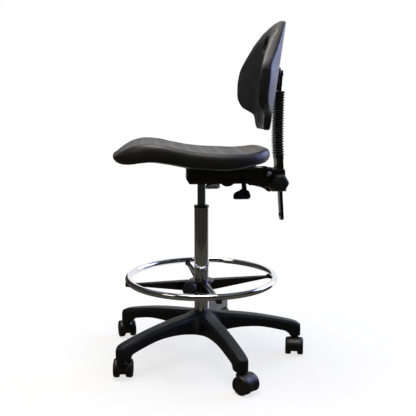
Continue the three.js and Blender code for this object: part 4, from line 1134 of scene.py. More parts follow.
# %% Cage of half an arm
BORDER_DEGREES = 36
HUB_VALLEY = [(33.5, 169.5, 0), (33.5, 169.4, 12), (33.5, 169.2, 24), (34, 168.5, BORDER_DEGREES),
              (42, 162, BORDER_DEGREES), (55, 152, BORDER_DEGREES), (69, 137, BORDER_DEGREES),
              (79, 119, BORDER_DEGREES), (81, 106, BORDER_DEGREES)]
valley = [(r * math.cos(math.radians(a)), r * math.sin(math.radians(a)), z) for r, z, a in HUB_VALLEY]
root = [(58, 0, 164), (58, 14, 163.8), (60, 18, 162.5), (65, 26.5, 154), (71, 30.5, 149), (77, 33.5, 137),
        (81, 35, 122), (82, 35.2, 109), (82, 34.2, 106)]
distances = [98, 130, 170, 215, 262, 296, 308.5, 312.5, 320, 331, 340, 346.5, 350.3]
cage = [valley, root] + [arm_loop(r) for r in distances]
cage.append([(351.5, 0, z) for _, _, z in cage[-1]])
print("arm cage:", len(cage), "loops of", len(valley))

# %% [markdown]
# The cage is mirrored, spun into five arms and softened, and then it gets its wall. A fifth of the base
# is drawn at the frame's origin, and the five together are put on the column's axis.

# %% Base moulding


def five_times(piece):
    """Repeats a piece around the column, turned as the base stands, and puts it on the column's axis."""
    select_only(piece)
    bpy.ops.object.mode_set(mode="EDIT")
    bpy.ops.mesh.select_all(action="SELECT")
    bpy.ops.mesh.spin(steps=4, angle=math.radians(288), center=(0, 0, 0), axis=Z_AXIS, dupli=True)
    bpy.ops.mesh.select_all(action="SELECT")
    bpy.ops.mesh.remove_doubles(threshold=0.0002)
    bpy.ops.object.mode_set(mode="OBJECT")
    piece.data.transform(Matrix.Translation(ORIGIN) @ Matrix.Rotation(math.radians(BASE_TURN), 4, "Z"))
    return piece


WALL_MM = 4.2
extruded_through([[Vector(point) / 1000 for point in loop] for loop in cage])
bpy.ops.mesh.select_all(action="SELECT")
bpy.ops.mesh.duplicate()
bpy.ops.transform.resize(value=(1, -1, 1), center_override=(0, 0, 0))
tidy_surface()
arms = five_times(bpy.context.object)
bpy.ops.object.mode_set(mode="EDIT")
tidy_surface()
if sum(face.normal.z * face.area for face in arms.data.polygons) < 0:
    arms.data.flip_normals()
apply_modifier(arms, "SUBSURF", levels=2, render_levels=2)
apply_modifier(arms, "SOLIDIFY", thickness=WALL_MM / 1000, offset=-1)
print("arms:", len(arms.data.polygons), "faces")

# %% [markdown]
# Underneath, a keel and two ribs stiffen each arm, and the stem's boss stands in its end. Webs tie the
# socket of the column to the valleys between the arms.

# %% Ribs and webs


def block(low, high):
    """A box between two corners in millimetres, still at the origin, with its edges moulded round."""
    deselect_all()
    bpy.ops.mesh.primitive_cube_add(size=1)
    bpy.ops.object.mode_set(mode="EDIT")
    size, middle = (Vector(high) - Vector(low)) / 1000, (Vector(high) + Vector(low)) / 2000
    bpy.ops.transform.resize(value=size, center_override=(0, 0, 0))
    bpy.ops.transform.translate(value=middle)
    bpy.ops.mesh.bevel(offset=0.0006, segments=2, affect="EDGES")
    bpy.ops.object.mode_set(mode="OBJECT")
    return bpy.context.object


def keel(x_from, x_to, thickness):
    """A web along the arm, between its underside and the inside of its top."""
    stations = [mix(x_from, x_to, i / 8) for i in range(9)]
    line = [(x, arm_under(x) + 2) for x in stations] + [(x, arm_top(x) - 3.5) for x in reversed(stations)]
    outline = [Vector((x, -thickness / 2, z)) / 1000 for x, z in line]
    return filled_and_extruded(outline, (0, thickness / 1000, 0))


ribs = [block((r - 1.7, -arm_half(r) + 3, arm_under(r) + 3), (r + 1.7, arm_half(r) - 3, arm_top(r) - 9))
        for r in (150, 225)]
web = block((30, -2.2, 104), (66, 2.2, 130))
web.data.transform(Matrix.Rotation(math.radians(BORDER_DEGREES), 4, "Z"))
print("ribs under an arm:", len(ribs))

# %% [markdown]
# A boss takes the castor's stem, and the socket takes the column. Both are turned, because their bores
# have to be round and exact.

# %% Bosses and the column's socket
boss = turned([(5.9, 70.6), (19.2, 70.6), (19.8, 71.2), (19.6, 108), (5.9, 108)],
              Vector((STEM_CIRCLE / 1000, 0, 0)), steps=40)
stiffening = five_times(joined(keel(30, 313, 3.4), *ribs, boss, web))
socket = turned([(25.35, 96), (30, 96), (31.2, 97), (32.5, 166), (33.8, 169.6), (32, 170.6), (26.6, 170.8),
                 (25.35, 169.6)], ORIGIN, steps=72)
finished(joined(arms, stiffening, socket), "five_arm_base", "base", "base_nylon", "base", smooth_deg=50)

# %% [markdown]
# ## Castors
# A twin-wheel castor has a nylon hood that covers both wheels, and a web between the wheels that carries
# the axle and the stem. One castor is modelled at the origin, with its stem upright on z and the axle
# 18 mm behind it. It is then copied under each arm, turned to its own heading.

# %% Places on a castor
WHEEL_R, TRAIL = 29, 18
AXLE_Z = DRAWING_FLOOR + WHEEL_R
CASTOR_HEADINGS = [256, 100, 100, 84, 311]


def castor_spot(x, y, z):
    """A point of the model castor, in millimetres from the foot of its stem's axis."""
    return Vector((x, y, z)) / 1000


STEM_FOOT, AXLE = castor_spot(0, 0, 0), castor_spot(TRAIL, 0, AXLE_Z)
print("the axle is at", AXLE)

# %% [markdown]
# The hood is a shell whose section is spun round the axle, from low behind the wheels to their front. A
# slot between its two halves leaves room for the web.

# %% Hood shell
half_shell = [(9.4, 32.2), (16, 32.6), (24, 32.4), (27.8, 31.5), (30, 29.6), (30.4, 27.4), (29.2, 27.2),
              (28.4, 29.2), (26.6, 30), (9.4, 30)]
shell_section = half_shell + [(-y, r) for y, r in reversed(half_shell)]
LOW_EDGE, HOOD_TURN = math.radians(-33), math.radians(246)
start_chain([castor_spot(TRAIL + r * math.cos(LOW_EDGE), y, AXLE_Z + r * math.sin(LOW_EDGE))
             for y, r in shell_section], closed=True)
bpy.ops.mesh.spin(steps=44, angle=HOOD_TURN, center=AXLE, axis=Y_AXIS)
shell = close_ends()
deselect_all()
bpy.ops.mesh.primitive_cube_add(size=1)
bpy.ops.object.mode_set(mode="EDIT")
bpy.ops.transform.resize(value=(0.1, 0.0212, 0.04), center_override=(0, 0, 0))
bpy.ops.transform.translate(value=castor_spot(TRAIL, 0, DRAWING_FLOOR + 0.5))
bpy.ops.object.mode_set(mode="OBJECT")
cut_out(shell, bpy.context.object)
print("hood shell:", len(shell.data.polygons), "faces")

# %% [markdown]
# The web is a flat disc with its foot cut off, between the wheels. A turned neck carries the hood on the
# stem, and a boss holds the axle.

# %% Web, neck and axle boss
WEB_R, WEB_HALF = 31.4, 9.4
web_angles = [math.radians(mix(-16, 196, i / 30)) for i in range(31)]
web = filled_and_extruded(
    [castor_spot(TRAIL + WEB_R * math.cos(a), -WEB_HALF, AXLE_Z + WEB_R * math.sin(a)) for a in web_angles],
    castor_spot(0, 2 * WEB_HALF, 0),
)
soften_edges(web, 1)
neck = turned([(5.9, 58), (5.9, 66.9), (6.6, 67.5), (11.8, 67.5), (13, 66.6), (13.4, 64.5), (14.4, 62.4),
               (17.5, 60), (18, 57)], STEM_FOOT, steps=40)
axle_boss = turned([(4.3, -9.9), (8, -9.9), (8.6, -9.3), (8.6, 9.3), (8, 9.9), (4.3, 9.9)], AXLE, Y_AXIS,
                   steps=32)
hood_model = joined(shell, web, neck, axle_boss)
print("hood:", len(hood_model.data.polygons), "faces")

# %% [markdown]
# A wheel has a rounded tread with two fine mould grooves, and a side disc inside a raised rim. The stem
# has a collar under the arm's boss.

# %% Castor wheel, stem and axle
wheel_profile = [(4.4, 0), (12, 0.2), (25.8, 0.4), (28, 1.2), (28.9, 2.8), (29, 5.2), (28.6, 5.5),
                 (28.6, 5.9), (29, 6.2), (29, 11.6), (28.6, 11.9), (28.6, 12.3), (29, 12.6), (28.9, 15.2),
                 (28.2, 17.2), (26.8, 18.7), (25.2, 19.6), (24, 19.7), (23.2, 19.2), (22.6, 18.2),
                 (21.4, 17.9), (12, 18.6), (CORE, 18.9), (CORE, 14), (4.4, 14)]
wheel_model = turned(wheel_profile, castor_spot(TRAIL, 11.6, AXLE_Z), Y_AXIS, steps=64)
stem_model = turned([(CORE, 37), (4.4, 37), (5.5, 38.2), (5.5, 67.8), (7.4, 67.8), (8, 68.3), (8, 69.2),
                     (7.5, 69.7), (5.5, 69.7), (5.5, 103), (4.6, 105), (CORE, 105)], STEM_FOOT, steps=32)
axle_model = turned([(CORE, -24.5), (3.6, -24.5), (4, -24), (4, 24), (3.6, 24.5), (CORE, 24.5)], AXLE, Y_AXIS,
                    steps=24)
print("wheel:", len(wheel_model.data.polygons), "faces")

# %% [markdown]
# Each castor is a copy of the model with its own mesh, turned to its heading and moved under its arm. The
# left wheel is the mirror image of the right one, so its faces are turned outwards again.

# %% Castors under the arms


def placed_copy(model, place):
    """A copy with its own mesh, moved as a matrix says."""
    select_only(model)
    bpy.ops.object.duplicate(linked=False)
    copy = bpy.context.object
    copy.data.transform(place)
    return copy


mirror = Matrix.Scale(-1, 4, Y_AXIS)
for i, heading in enumerate(CASTOR_HEADINGS):
    castor, azimuth = f"castor_{i + 1}", math.radians(72 * i + BASE_TURN)
    stand = Matrix.Translation(at(STEM_CIRCLE * math.cos(azimuth), STEM_CIRCLE * math.sin(azimuth), 0))
    place = stand @ Matrix.Rotation(math.radians(heading), 4, "Z")
    finished(placed_copy(hood_model, place), f"{castor}_nylon_hood", castor, "castor_nylon", f"{castor}_hood")
    finished(placed_copy(axle_model, place), f"{castor}_steel_axle", castor, "castor_steel", f"{castor}_axle")
    finished(placed_copy(stem_model, place), f"{castor}_steel_stem", "base", "castor_steel", f"{castor}_stem")
    for side, turn in (("right", Matrix.Identity(4)), ("left", mirror)):
        wheel = placed_copy(wheel_model, place @ turn)
        if side == "left":
            wheel.data.flip_normals()
        finished(wheel, f"{castor}_nylon_wheel_{side}", f"{castor}_wheel_{side}", "castor_nylon",
                 f"{castor}_wheel_{side}", finish=tread_nylon)
for model in (hood_model, wheel_model, stem_model, axle_model):
    bpy.data.objects.remove(model)
print("castors:", len(CASTOR_HEADINGS))

# %% [markdown]
# ## Foot ring
# The ring is chromed tube, bent round and butt-welded. It rests in four saddles on the spokes of a nylon
# hub, and a clamp knob presses a split bush on the column. The same bent tube, a little thicker, is the
# cutter that hollows the saddles.

# %% Ring tube
RING_R, TUBE_R, RING_Z, RING_TURN = 252.8, 10.7, 288, 6.5
TUBE_SIDES, RING_STEPS = 32, 192


def bent_tube(radius):
    """A tube of a radius in millimetres, bent to the foot ring's circle."""
    angles = [2 * math.pi * i / TUBE_SIDES for i in range(TUBE_SIDES)]
    section = [(RING_R + radius * math.cos(a), radius * math.sin(a)) for a in angles]
    return turned(section, at(0, 0, RING_Z), steps=RING_STEPS)


finished(bent_tube(TUBE_R), "chromed_foot_ring", "foot_ring", "ring_chrome", "foot_ring")

# %% [markdown]
# Spokes, screws and recesses come several times around the column. Each is drawn once along x and then
# spun as copies, so that all of them are truly alike.

# %% Pieces around the column


def around_column(piece, count, first_degrees):
    """Repeats a piece drawn along +x around the column."""
    select_only(piece)
    bpy.ops.object.mode_set(mode="EDIT")
    bpy.ops.mesh.select_all(action="SELECT")
    bpy.ops.mesh.spin(
        steps=count - 1, angle=2 * math.pi * (count - 1) / count, center=ORIGIN, axis=Z_AXIS, dupli=True
    )
    bpy.ops.object.mode_set(mode="OBJECT")
    turn = Matrix.Rotation(math.radians(first_degrees), 4, "Z")
    piece.data.transform(Matrix.Translation(ORIGIN) @ turn @ Matrix.Translation(-ORIGIN))
    return piece


print("spokes start at", RING_TURN, "degrees")

# %% [markdown]
# A spoke is a T section: a web that tapers towards the ring under a flat flange. Its end is a saddle with
# a hollow for the tube, and a screw from below holds the ring in it.

# %% Spokes
SPOKES, HOLLOW_GAP = 4, 0.3
HUB_LOW, HUB_HIGH, SADDLE_LOW = 238, 278, 269.3
web = plate([(30, HUB_LOW + 3), (46, HUB_LOW + 3, 4), (237, SADDLE_LOW, 8), (263.5, SADDLE_LOW, 3),
             (264.5, 282), (238.5, 284, 2), (233, HUB_HIGH, 4), (30, HUB_HIGH)], "y", -3.5, 3.5, 0.9)
flange = plate([(30, -14), (233, -8.5), (240, -8.5), (240, 8.5), (233, 8.5), (30, 14)], "z",
               HUB_HIGH - 4, HUB_HIGH, 1.2)
saddle = plate([(240.5, -8.5, 3), (264.4, -8.5, 3), (264.4, 8.5, 3), (240.5, 8.5, 3)], "z",
               SADDLE_LOW, 282.2, 1.0)
arm = cut_out(joined(web, flange), bent_tube(TUBE_R + HOLLOW_GAP))
spokes = around_column(joined(arm, cut_out(saddle, bent_tube(TUBE_R + HOLLOW_GAP))), SPOKES, RING_TURN)
print("spokes:", len(spokes.data.polygons), "faces")

# %% [markdown]
# The hub is a tall collar under a wide flange with a ring of moulded recesses, and a boss on its side
# takes the stud of the clamp knob.

# %% Ring hub
BOSS_Z, BOSS_DEGREES = 258, 229
core = turned([(28.4, 238.6), (29, 238), (33.4, 238), (34.2, 238.8), (35, 268), (36.6, 271), (41, 272.6),
               (43, 273.8), (43.6, 275.4), (43.4, 277), (42.2, 278.2), (36, 279), (33.6, 280.2),
               (26.4, 280.2), (25.6, 279.4), (25.6, 276.4), (28.4, 275.4)], ORIGIN, steps=96)
recess = turned([(CORE, 276.6), (2.6, 276.6), (3.2, 277.2), (3.4, 285), (CORE, 285)], at(39.4, 0, 0),
                steps=20)
cut_out(core, around_column(recess, 12, 10))
boss_turn = Vector((math.cos(math.radians(BOSS_DEGREES)), math.sin(math.radians(BOSS_DEGREES)), 0))
boss = turned([(5.4, 30), (13, 30), (13, 47), (12.2, 48.6), (10.6, 49), (5.4, 49)], at(0, 0, BOSS_Z),
              boss_turn, steps=40)
finished(joined(core, spokes, boss), "ring_hub_casting", "foot_ring", "hub_nylon", "ring_hub", smooth_deg=40)

# %% [markdown]
# The bush is a thin acetal ring inside the hub, with chamfered ends. The screws come up through the
# saddles from below and show only their heads.

# %% Split bush and saddle screws
bush = turned([(25.4, 239.5), (25.9, 239), (27.6, 239), (28, 239.5), (28, 274.5), (27.6, 275), (25.9, 275),
               (25.4, 274.5)], ORIGIN, steps=64)
finished(bush, "ring_split_bush", "ring_collar", "bush_nylon", "ring_bush")
screw = turned([(CORE, 266.4), (3.4, 266.4), (4.6, 267.2), (5, 268.4), (5, 269.2), (CORE, 269.2)],
               at(252.4, 0, 0), steps=28)
finished(around_column(screw, SPOKES, RING_TURN), "ring_saddle_screws", "foot_ring", "zinc_fittings")

# %% [markdown]
# ## Clamp knobs
# Both knobs are moulded the same way, with round lobes and a domed face, on a steel stud. The one on the
# ring has eight lobes, the one at the back has six. A knob is a skin through lobed loops: each loop says
# how far along the knob it lies, how large it is and how deep its lobes are cut.

# %% Clamp knobs


def clamp_knob(radius, depth, lobes, start, centre, axis):
    """A lobed knob whose face looks along an axis, with its root at a distance from a drawing point."""
    count = lobes * 10
    lay = Vector(X_AXIS).rotation_difference(Vector(axis)).to_matrix()

    def loop(along, scale, lobing):
        points = []
        for i in range(count):
            angle = 2 * math.pi * i / count
            r = radius * scale - lobing * abs(math.sin(lobes * angle / 2)) ** 1.6
            points.append(centre + lay @ (Vector((along, r * math.cos(angle), r * math.sin(angle))) / 1000))
        return points

    stations = [(0, 0.7, 0), (0.02, 0.76, 0.3), (0.08, 0.9, 1.4), (0.15, 0.98, 2.2), (0.24, 1.01, 2.5),
                (0.6, 1.0, 2.5), (0.74, 0.95, 2.1), (0.86, 0.84, 1.4), (0.94, 0.68, 0.7), (0.98, 0.48, 0.3),
                (1.0, 0.24, 0), (1.004, 0.06, 0)]
    loops = [loop(start + depth * share, scale, lobing) for share, scale, lobing in stations]
    extruded_through(loops, closed=True)
    return close_ends()


ring_knob = clamp_knob(27.5, 34, 8, 53, at(0, 0, BOSS_Z), boss_turn)
stud = turned([(CORE, 28.8), (4.4, 28.8), (5, 29.6), (5, 56), (CORE, 56)], at(0, 0, BOSS_Z), boss_turn,
              steps=32)
finished(joined(ring_knob, stud), "ring_clamp_knob", "ring_knob", "knob_nylon", "ring_knob", smooth_deg=50)

# %% [markdown]
# ## Housing under the seat
# The housing is a channel pressed from 2.5 mm sheet, open below, with a bend radius along its top edges.
# Its side view is cut from a bent channel, as the press tool does it, and swells round the spacer.

# %% Pins of the mechanism
SPACER, LOCK, PIVOT, LINK_PIN, CLAMP = (84, 626), (140, 626), (224, 648), (231, 603), (259, 619)


def pin_at(pin):
    """A pin's place in the middle plane of the chair."""
    return at(pin[0], 0, pin[1])


def across(piece, pin, radius):
    """Drills through a pressed piece from side to side."""
    return drill(piece, (pin[0], -60, pin[1]), (pin[0], 60, pin[1]), radius)


print("the back pivots at", pin_at(PIVOT))

# %% [markdown]
# The channel is extruded from its bent section, and then keeps only what lies inside the side view. Its
# roof is cut away at the rear, where the bracket's top swings.

# %% Channel
HALF_WIDE, SHEET, ROOF, NOSE_X, WIDE_CUT = 36.5, 2.5, 669, -51, 60
INSIDE, UNDER_ROOF = HALF_WIDE - SHEET, ROOF - SHEET
channel = plate([(-HALF_WIDE, 580), (-HALF_WIDE, ROOF, 5), (HALF_WIDE, ROOF, 5), (HALF_WIDE, 580),
                 (INSIDE, 580), (INSIDE, UNDER_ROOF, 2.6), (-INSIDE, UNDER_ROOF, 2.6), (-INSIDE, 580)],
                "x", NOSE_X, 243, 0, steps=5)
side_view = plate([(-35, 675), (-35, 659, 4), (-51.5, 643, 2), (-51.5, 629, 3), (-44, 616, 3), (152, 616, 3),
                   (158, 610, 3), (194, 610, 6), (222, 588, 4), (235, 588, 4), (238, 630, 6), (242, 654, 6),
                   (236, 666, 5), (214, 671), (214, 675)], "y", -WIDE_CUT, WIDE_CUT, 0, steps=5)
swell = turned([(CORE, -58), (30, -58), (30, 58), (CORE, 58)], at(SPACER[0], 0, SPACER[1] + 11), Y_AXIS)
combine(channel, combine(side_view, swell, "UNION"), "INTERSECT")
cut_out(channel, plate([(205, -INSIDE), (260, -INSIDE), (260, INSIDE), (205, INSIDE)], "z", 655, 680, 0))
print("channel:", len(channel.data.polygons), "faces")

# %% [markdown]
# The link's pin swings round the pivot as the back tilts, so the side plates have a slot along its arc.
# A small window takes the lift lever's rod, and a hole in the roof the pin of the gas lift.

# %% Slots and holes
reach = math.hypot(LINK_PIN[0] - PIVOT[0], LINK_PIN[1] - PIVOT[1])
pin_angle = math.atan2(LINK_PIN[1] - PIVOT[1], LINK_PIN[0] - PIVOT[0])
ARC_HALF = 3.9
arc = [pin_angle + math.radians(a) for a in range(-25, 9, 3)]


def on_arc(radius, angle):
    return PIVOT[0] + radius * math.cos(angle), PIVOT[1] + radius * math.sin(angle)


arc_slot = [on_arc(reach + ARC_HALF, a) for a in arc] + [on_arc(reach - ARC_HALF, a) for a in reversed(arc)]
cut_out(channel, plate(arc_slot, "y", -WIDE_CUT, WIDE_CUT, 0))
cut_out(channel, plate([(-8, 650.5, 3), (8, 650.5, 3), (8, 665, 3), (-8, 665, 3)], "y", 26, 46, 0))
across(channel, LOCK, 4.3)
drill(channel, (0, 0, 655), (0, 0, 680), 6)
print("channel with its slots:", len(channel.data.polygons), "faces")

# %% [markdown]
# A strip closes the roof in front, and a nose plate closes the front end. The heads of the spacer's
# rivets stand out on both sides. Their profile stays open at the axis, so the bevel that softens the
# whole housing leaves the domes smooth.

# %% Roof, nose and rivet heads
roof_front = plate([(NOSE_X, -HALF_WIDE, 3), (-33, -HALF_WIDE), (-33, HALF_WIDE), (NOSE_X, HALF_WIDE, 3)],
                   "z", UNDER_ROOF, ROOF, 0.4)
drill(roof_front, (0, 0, 655), (0, 0, 680), 6)
nose = plate([(-HALF_WIDE, 629, 3), (HALF_WIDE, 629, 3), (HALF_WIDE, 643, 3), (26.5, 668.8, 2),
              (-26.5, 668.8, 2), (-HALF_WIDE, 643, 3)], "x", NOSE_X, NOSE_X + SHEET, 0.5)
heads = [turned([(CORE, 35), (5.2, 35), (5.2, 36.8), (4.4, 38), (2.6, 38.8), (CORE, 39)], pin_at(SPACER),
                (0, side, 0), steps=28, closed=False) for side in (-1, 1)]
housing = joined(channel, roof_front, nose, *heads)
soften_edges(housing, 0.5)
finished(housing, "pressed_steel_housing", "seat", "mechanism_paint", "housing", smooth_deg=40)

# %% [markdown]
# Inside the housing a conical socket takes the taper of the gas lift. It is welded to a bridge between
# the side plates.

# %% Taper socket and spacer
socket = turned([(14.4, 614.5), (14.9, 614), (19.6, 614), (20, 614.5), (19.2, 641.4), (18.6, 642),
                 (13.8, 642), (13.4, 641.6)], ORIGIN, steps=48)
bridge = plate([(-26, -33.7, 2), (26, -33.7, 2), (26, 33.7, 2), (-26, 33.7, 2)], "z", 620, 624, 0.4)
drill(bridge, (0, 0, 600), (0, 0, 640), 19)
weld = turned([(19.3, 623.5), (21.6, 624), (21.2, 625), (19.9, 626.4), (19.2, 626.6)], ORIGIN, steps=48)
finished(joined(socket, bridge, weld), "welded_taper_socket", "seat", "mechanism_paint", "taper_socket")
spacer = turned([(CORE, -36.4), (4, -36.4), (4, -33.7), (7, -33.7), (7, 33.7), (4, 33.7), (4, 36.4),
                 (CORE, 36.4)], pin_at(SPACER), Y_AXIS, steps=32)
finished(spacer, "riveted_spacer", "seat", "zinc_fittings", "housing_spacer")

# %% [markdown]
# Zinc-plated gussets stiffen the two front corners. They are cut flat and then leaned inwards over their
# foot, along the slanted edges of the nose.

# %% Front corner gussets
GUSSET_Y, GUSSET_FOOT, GUSSET_LEAN = 35.4, 642, 22
gussets = []
for side in (-1, 1):
    gusset = plate([(-49.5, GUSSET_FOOT), (-33.5, 657, 3), (-33.5, ROOF), (-49.5, ROOF)], "y",
                   side * GUSSET_Y - 0.9, side * GUSSET_Y + 0.9, 0.3)
    foot = at(0, side * GUSSET_Y, GUSSET_FOOT)
    lean = Matrix.Rotation(math.radians(side * GUSSET_LEAN), 4, "X")
    gusset.data.transform(Matrix.Translation(foot) @ lean @ Matrix.Translation(-foot))
    gussets.append(gusset)
finished(joined(*gussets), "front_corner_gussets", "seat", "zinc_fittings")

# %% [markdown]
# ## Seat plate and pan
# The seat plate is welded on the housing. It is cut to a waist between its two pairs of bolts, which go
# up into the moulded pan under the foam. The pan has a groove all round its underside.

# %% Seat plate
half_plate = [(-56, -80, 12), (-18, -80, 12), (2, -50, 10), (112, -50, 10), (132, -80, 12), (170, -80, 12)]
other_half = [(x, -y, fillet) for x, y, fillet in reversed(half_plate)]
seat_plate = plate(half_plate + other_half, "z", ROOF, ROOF + SHEET, 0.5)
bolts = []
for x in (-36, 150):
    for y in (-62, 62):
        place = at(x, y, 0)
        bolts += [
            turned([(CORE, 661.7), (6.4, 661.7), (7.2, 662.6), (7.2, 667), (CORE, 667)], place, steps=6),
            turned([(4, 667), (9.6, 667), (10, 667.4), (10, ROOF), (4, ROOF)], place, steps=28),
            turned([(CORE, 668), (4, 668), (4, 677), (CORE, 677)], place, steps=20),
        ]
finished(joined(seat_plate, *bolts), "seat_plate_with_bolts", "seat", "mechanism_paint", "seat_plate")

# %% [markdown]
# The pan is a tray of polypropylene with large round corners. A shallow groove follows its edge, cut as
# one plate less a smaller one.

# %% Seat pan
pan = plate([(-60, -100, 40), (-60, 100, 40), (176, 104, 40), (176, -104, 40)], "z", ROOF + SHEET, 680,
            2.2, segments=3, steps=10)
groove = plate([(-46, -86, 34), (-46, 86, 34), (162, 90, 34), (162, -90, 34)], "z", 668, 673, 0, steps=10)
middle = plate([(-38, -78, 30), (-38, 78, 30), (154, 82, 30), (154, -82, 30)], "z", 667, 674, 0, steps=10)
cut_out(pan, cut_out(groove, middle))
finished(pan, "moulded_seat_pan", "seat", "pan_nylon", "seat_pan")

# %% [markdown]
# ## Back bracket and its fittings
# The upright leans forward up to a bend, and then runs up along the backrest. Its centre line is needed
# first, because the bracket's sleeve and the bellows follow it.

# %% Upright's centre line
BAR_FOOT_X, BAR_FOOT_Z, BAR_BEND_Z, BAR_TOP_Z, BAR_TOP_X = 278.8, 484, 750, 993, 268.5
FORWARD_LEAN = math.tan(math.radians(3.95))
bend_x = BAR_FOOT_X - FORWARD_LEAN * (BAR_BEND_Z - BAR_FOOT_Z)
bar_high = line_through([(BAR_BEND_Z, bend_x), (800, bend_x - 0.6), (850, bend_x - 0.2), (900, bend_x + 0.8),
                         (950, 264), (BAR_TOP_Z, BAR_TOP_X)])


def bar_x(z):
    """Where the upright's centre line runs at a height."""
    return bar_high(z) if z > BAR_BEND_Z else BAR_FOOT_X - FORWARD_LEAN * (z - BAR_FOOT_Z)


def box_loop(z, thick, wide, corner):
    """A rounded rectangle around the upright at a height."""
    x, y = thick / 2, wide / 2
    ring = rounded([(-x, -y, corner), (x, -y, corner), (x, y, corner), (-x, y, corner)], 3)
    return [at(bar_x(z) + out, side, z) for out, side in ring]


def sleeve_block(low, high, thick, wide, corner):
    """A solid block along the upright between two heights."""
    extruded_through([box_loop(z, thick, wide, corner) for z in (low, high)], closed=True)
    return close_ends()


print("the upright bends at", bend_x)

# %% [markdown]
# The bracket is a pressed box, open at the front and below, that straddles the housing's lugs and tilts
# on the pivot bolt. The link's pin runs across it, with a clip on each side.

# %% Back bracket
INNER = 37.2
bracket = plate([(208, 664, 4), (280, 664, 4), (286, 588, 4), (236, 588, 5), (208, 620, 5)], "y", -40.2, 40.2,
                2.6, segments=3, steps=5)
cut_out(bracket, plate([(190, 570), (190, 661), (277, 661), (283.2, 582), (283.2, 570)], "y",
                       -INNER, INNER, 0))
cut_out(bracket, plate([(190, 640), (244, 640), (244, 680), (190, 680)], "y", -INNER, INNER, 0))
cut_out(bracket, sleeve_block(600, 720, 22.6, 64.6, 2.5))
drill(bracket, (CLAMP[0], -60, CLAMP[1]), (CLAMP[0], 0, CLAMP[1]), 5.3)
pin = turned([(CORE, -41.4), (3.4, -41.1), (4.8, -40.2), (3, -40.1), (3, 40.1), (4.8, 40.2), (3.4, 41.1),
              (CORE, 41.4)], pin_at(LINK_PIN), Y_AXIS, steps=24)
finished(joined(bracket, pin), "pressed_back_bracket", "bracket", "mechanism_paint", "back_bracket",
         smooth_deg=40)
clips = [plate([(225, 617, 2), (242, 591, 3), (227, 590, 3)], "y", low, high, 0.4)
         for low, high in ((-41.9, -40.3), (40.3, 41.9))]
finished(joined(*clips), "link_pin_clips", "bracket", "zinc_fittings")

# %% [markdown]
# The sleeve for the upright sits in the bracket and leans forward as the upright does. It ends in a
# collar right under the foot of the bellows.

# %% Guide sleeve
sleeve = combine(sleeve_block(628, 709, 22, 64, 2.5), sleeve_block(697, 709.2, 25, 66, 4), "UNION")
soften_edges(sleeve, 1.2, sharp=0.9)
cut_out(sleeve, sleeve_block(610, 730, 10.8, 40.8, 1.5))
finished(sleeve, "moulded_guide_sleeve", "bracket", "sleeve_nylon", "guide_sleeve")

# %% [markdown]
# Two slotted plates lock the back. They hang on the link's pin, and the lever's cam clamps them on the
# spindle. Their slots are as long as the way from the spindle to the pin changes between the two ends of
# the tilt.

# %% Slotted lock plates
direction = Vector((LOCK[0] - LINK_PIN[0], LOCK[1] - LINK_PIN[1])).normalized()
TILT_BACK, TILT_FORWARD = 20, -3


def in_link(corners):
    """Outline corners drawn along the link, laid where it runs."""
    return [(LINK_PIN[0] + p.x * direction.x - p.y * direction.y,
             LINK_PIN[1] + p.x * direction.y + p.y * direction.x) for p in rounded(corners, 5)]


def pin_reach(tilt):
    """How far the link's pin is from the spindle when the back tilts by an angle in degrees."""
    turn = math.radians(tilt)
    dx, dz = LINK_PIN[0] - PIVOT[0], LINK_PIN[1] - PIVOT[1]
    x = PIVOT[0] + dx * math.cos(turn) + dz * math.sin(turn)
    z = PIVOT[1] - dx * math.sin(turn) + dz * math.cos(turn)
    return math.hypot(LOCK[0] - x, LOCK[1] - z)


near, far = pin_reach(TILT_BACK), pin_reach(TILT_FORWARD)
link_plates = []
for low, high in ((-27, -24.5), (24.5, 27)):
    lock_plate = plate(in_link([(-9, -9, 8), (far + 14, -9, 8), (far + 14, 9, 8), (-9, 9, 8)]), "y",
                       low, high, 0.4)
    slot = plate(in_link([(near - 4.8, -4.8, 4.4), (far + 4.8, -4.8, 4.4), (far + 4.8, 4.8, 4.4),
                          (near - 4.8, 4.8, 4.4)]), "y", low - 1, high + 1, 0)
    link_plates.append(cut_out(lock_plate, slot))
link_tube = turned([(3.4, -27), (6.6, -27), (7, -26.6), (7, 26.6), (6.6, 27), (3.4, 27)], pin_at(LINK_PIN),
                   Y_AXIS, steps=32)
finished(joined(*link_plates, link_tube), "slotted_lock_plates", "link", "zinc_fittings", "lock_link")

# %% [markdown]
# The spindle goes through both side plates and both lock plates. Outside the near plate a thin pin crosses
# it, which the cam turns on.

# %% Lock spindle with its cross pin
CAM_Y = -48.5
spindle = turned([(CORE, -53.5), (3.4, -53.5), (4, -52.9), (4, 44.6), (3.2, 45.5), (CORE, 45.5)],
                 pin_at(LOCK), Y_AXIS, steps=32)
cross_pin = turned([(CORE, -9.5), (1.7, -9.5), (2, -9.2), (2, 9.2), (1.7, 9.5), (CORE, 9.5)],
                   at(LOCK[0], CAM_Y, LOCK[1]), X_AXIS, steps=20)
finished(joined(spindle, cross_pin), "lock_spindle_with_pin", "seat", "zinc_fittings", "lock_spindle")

# %% [markdown]
# The bolt has a domed head on the near side, and hexagon nuts close both bolts on the far side. A nut is a
# turned piece with six steps, whose edges are then softened.

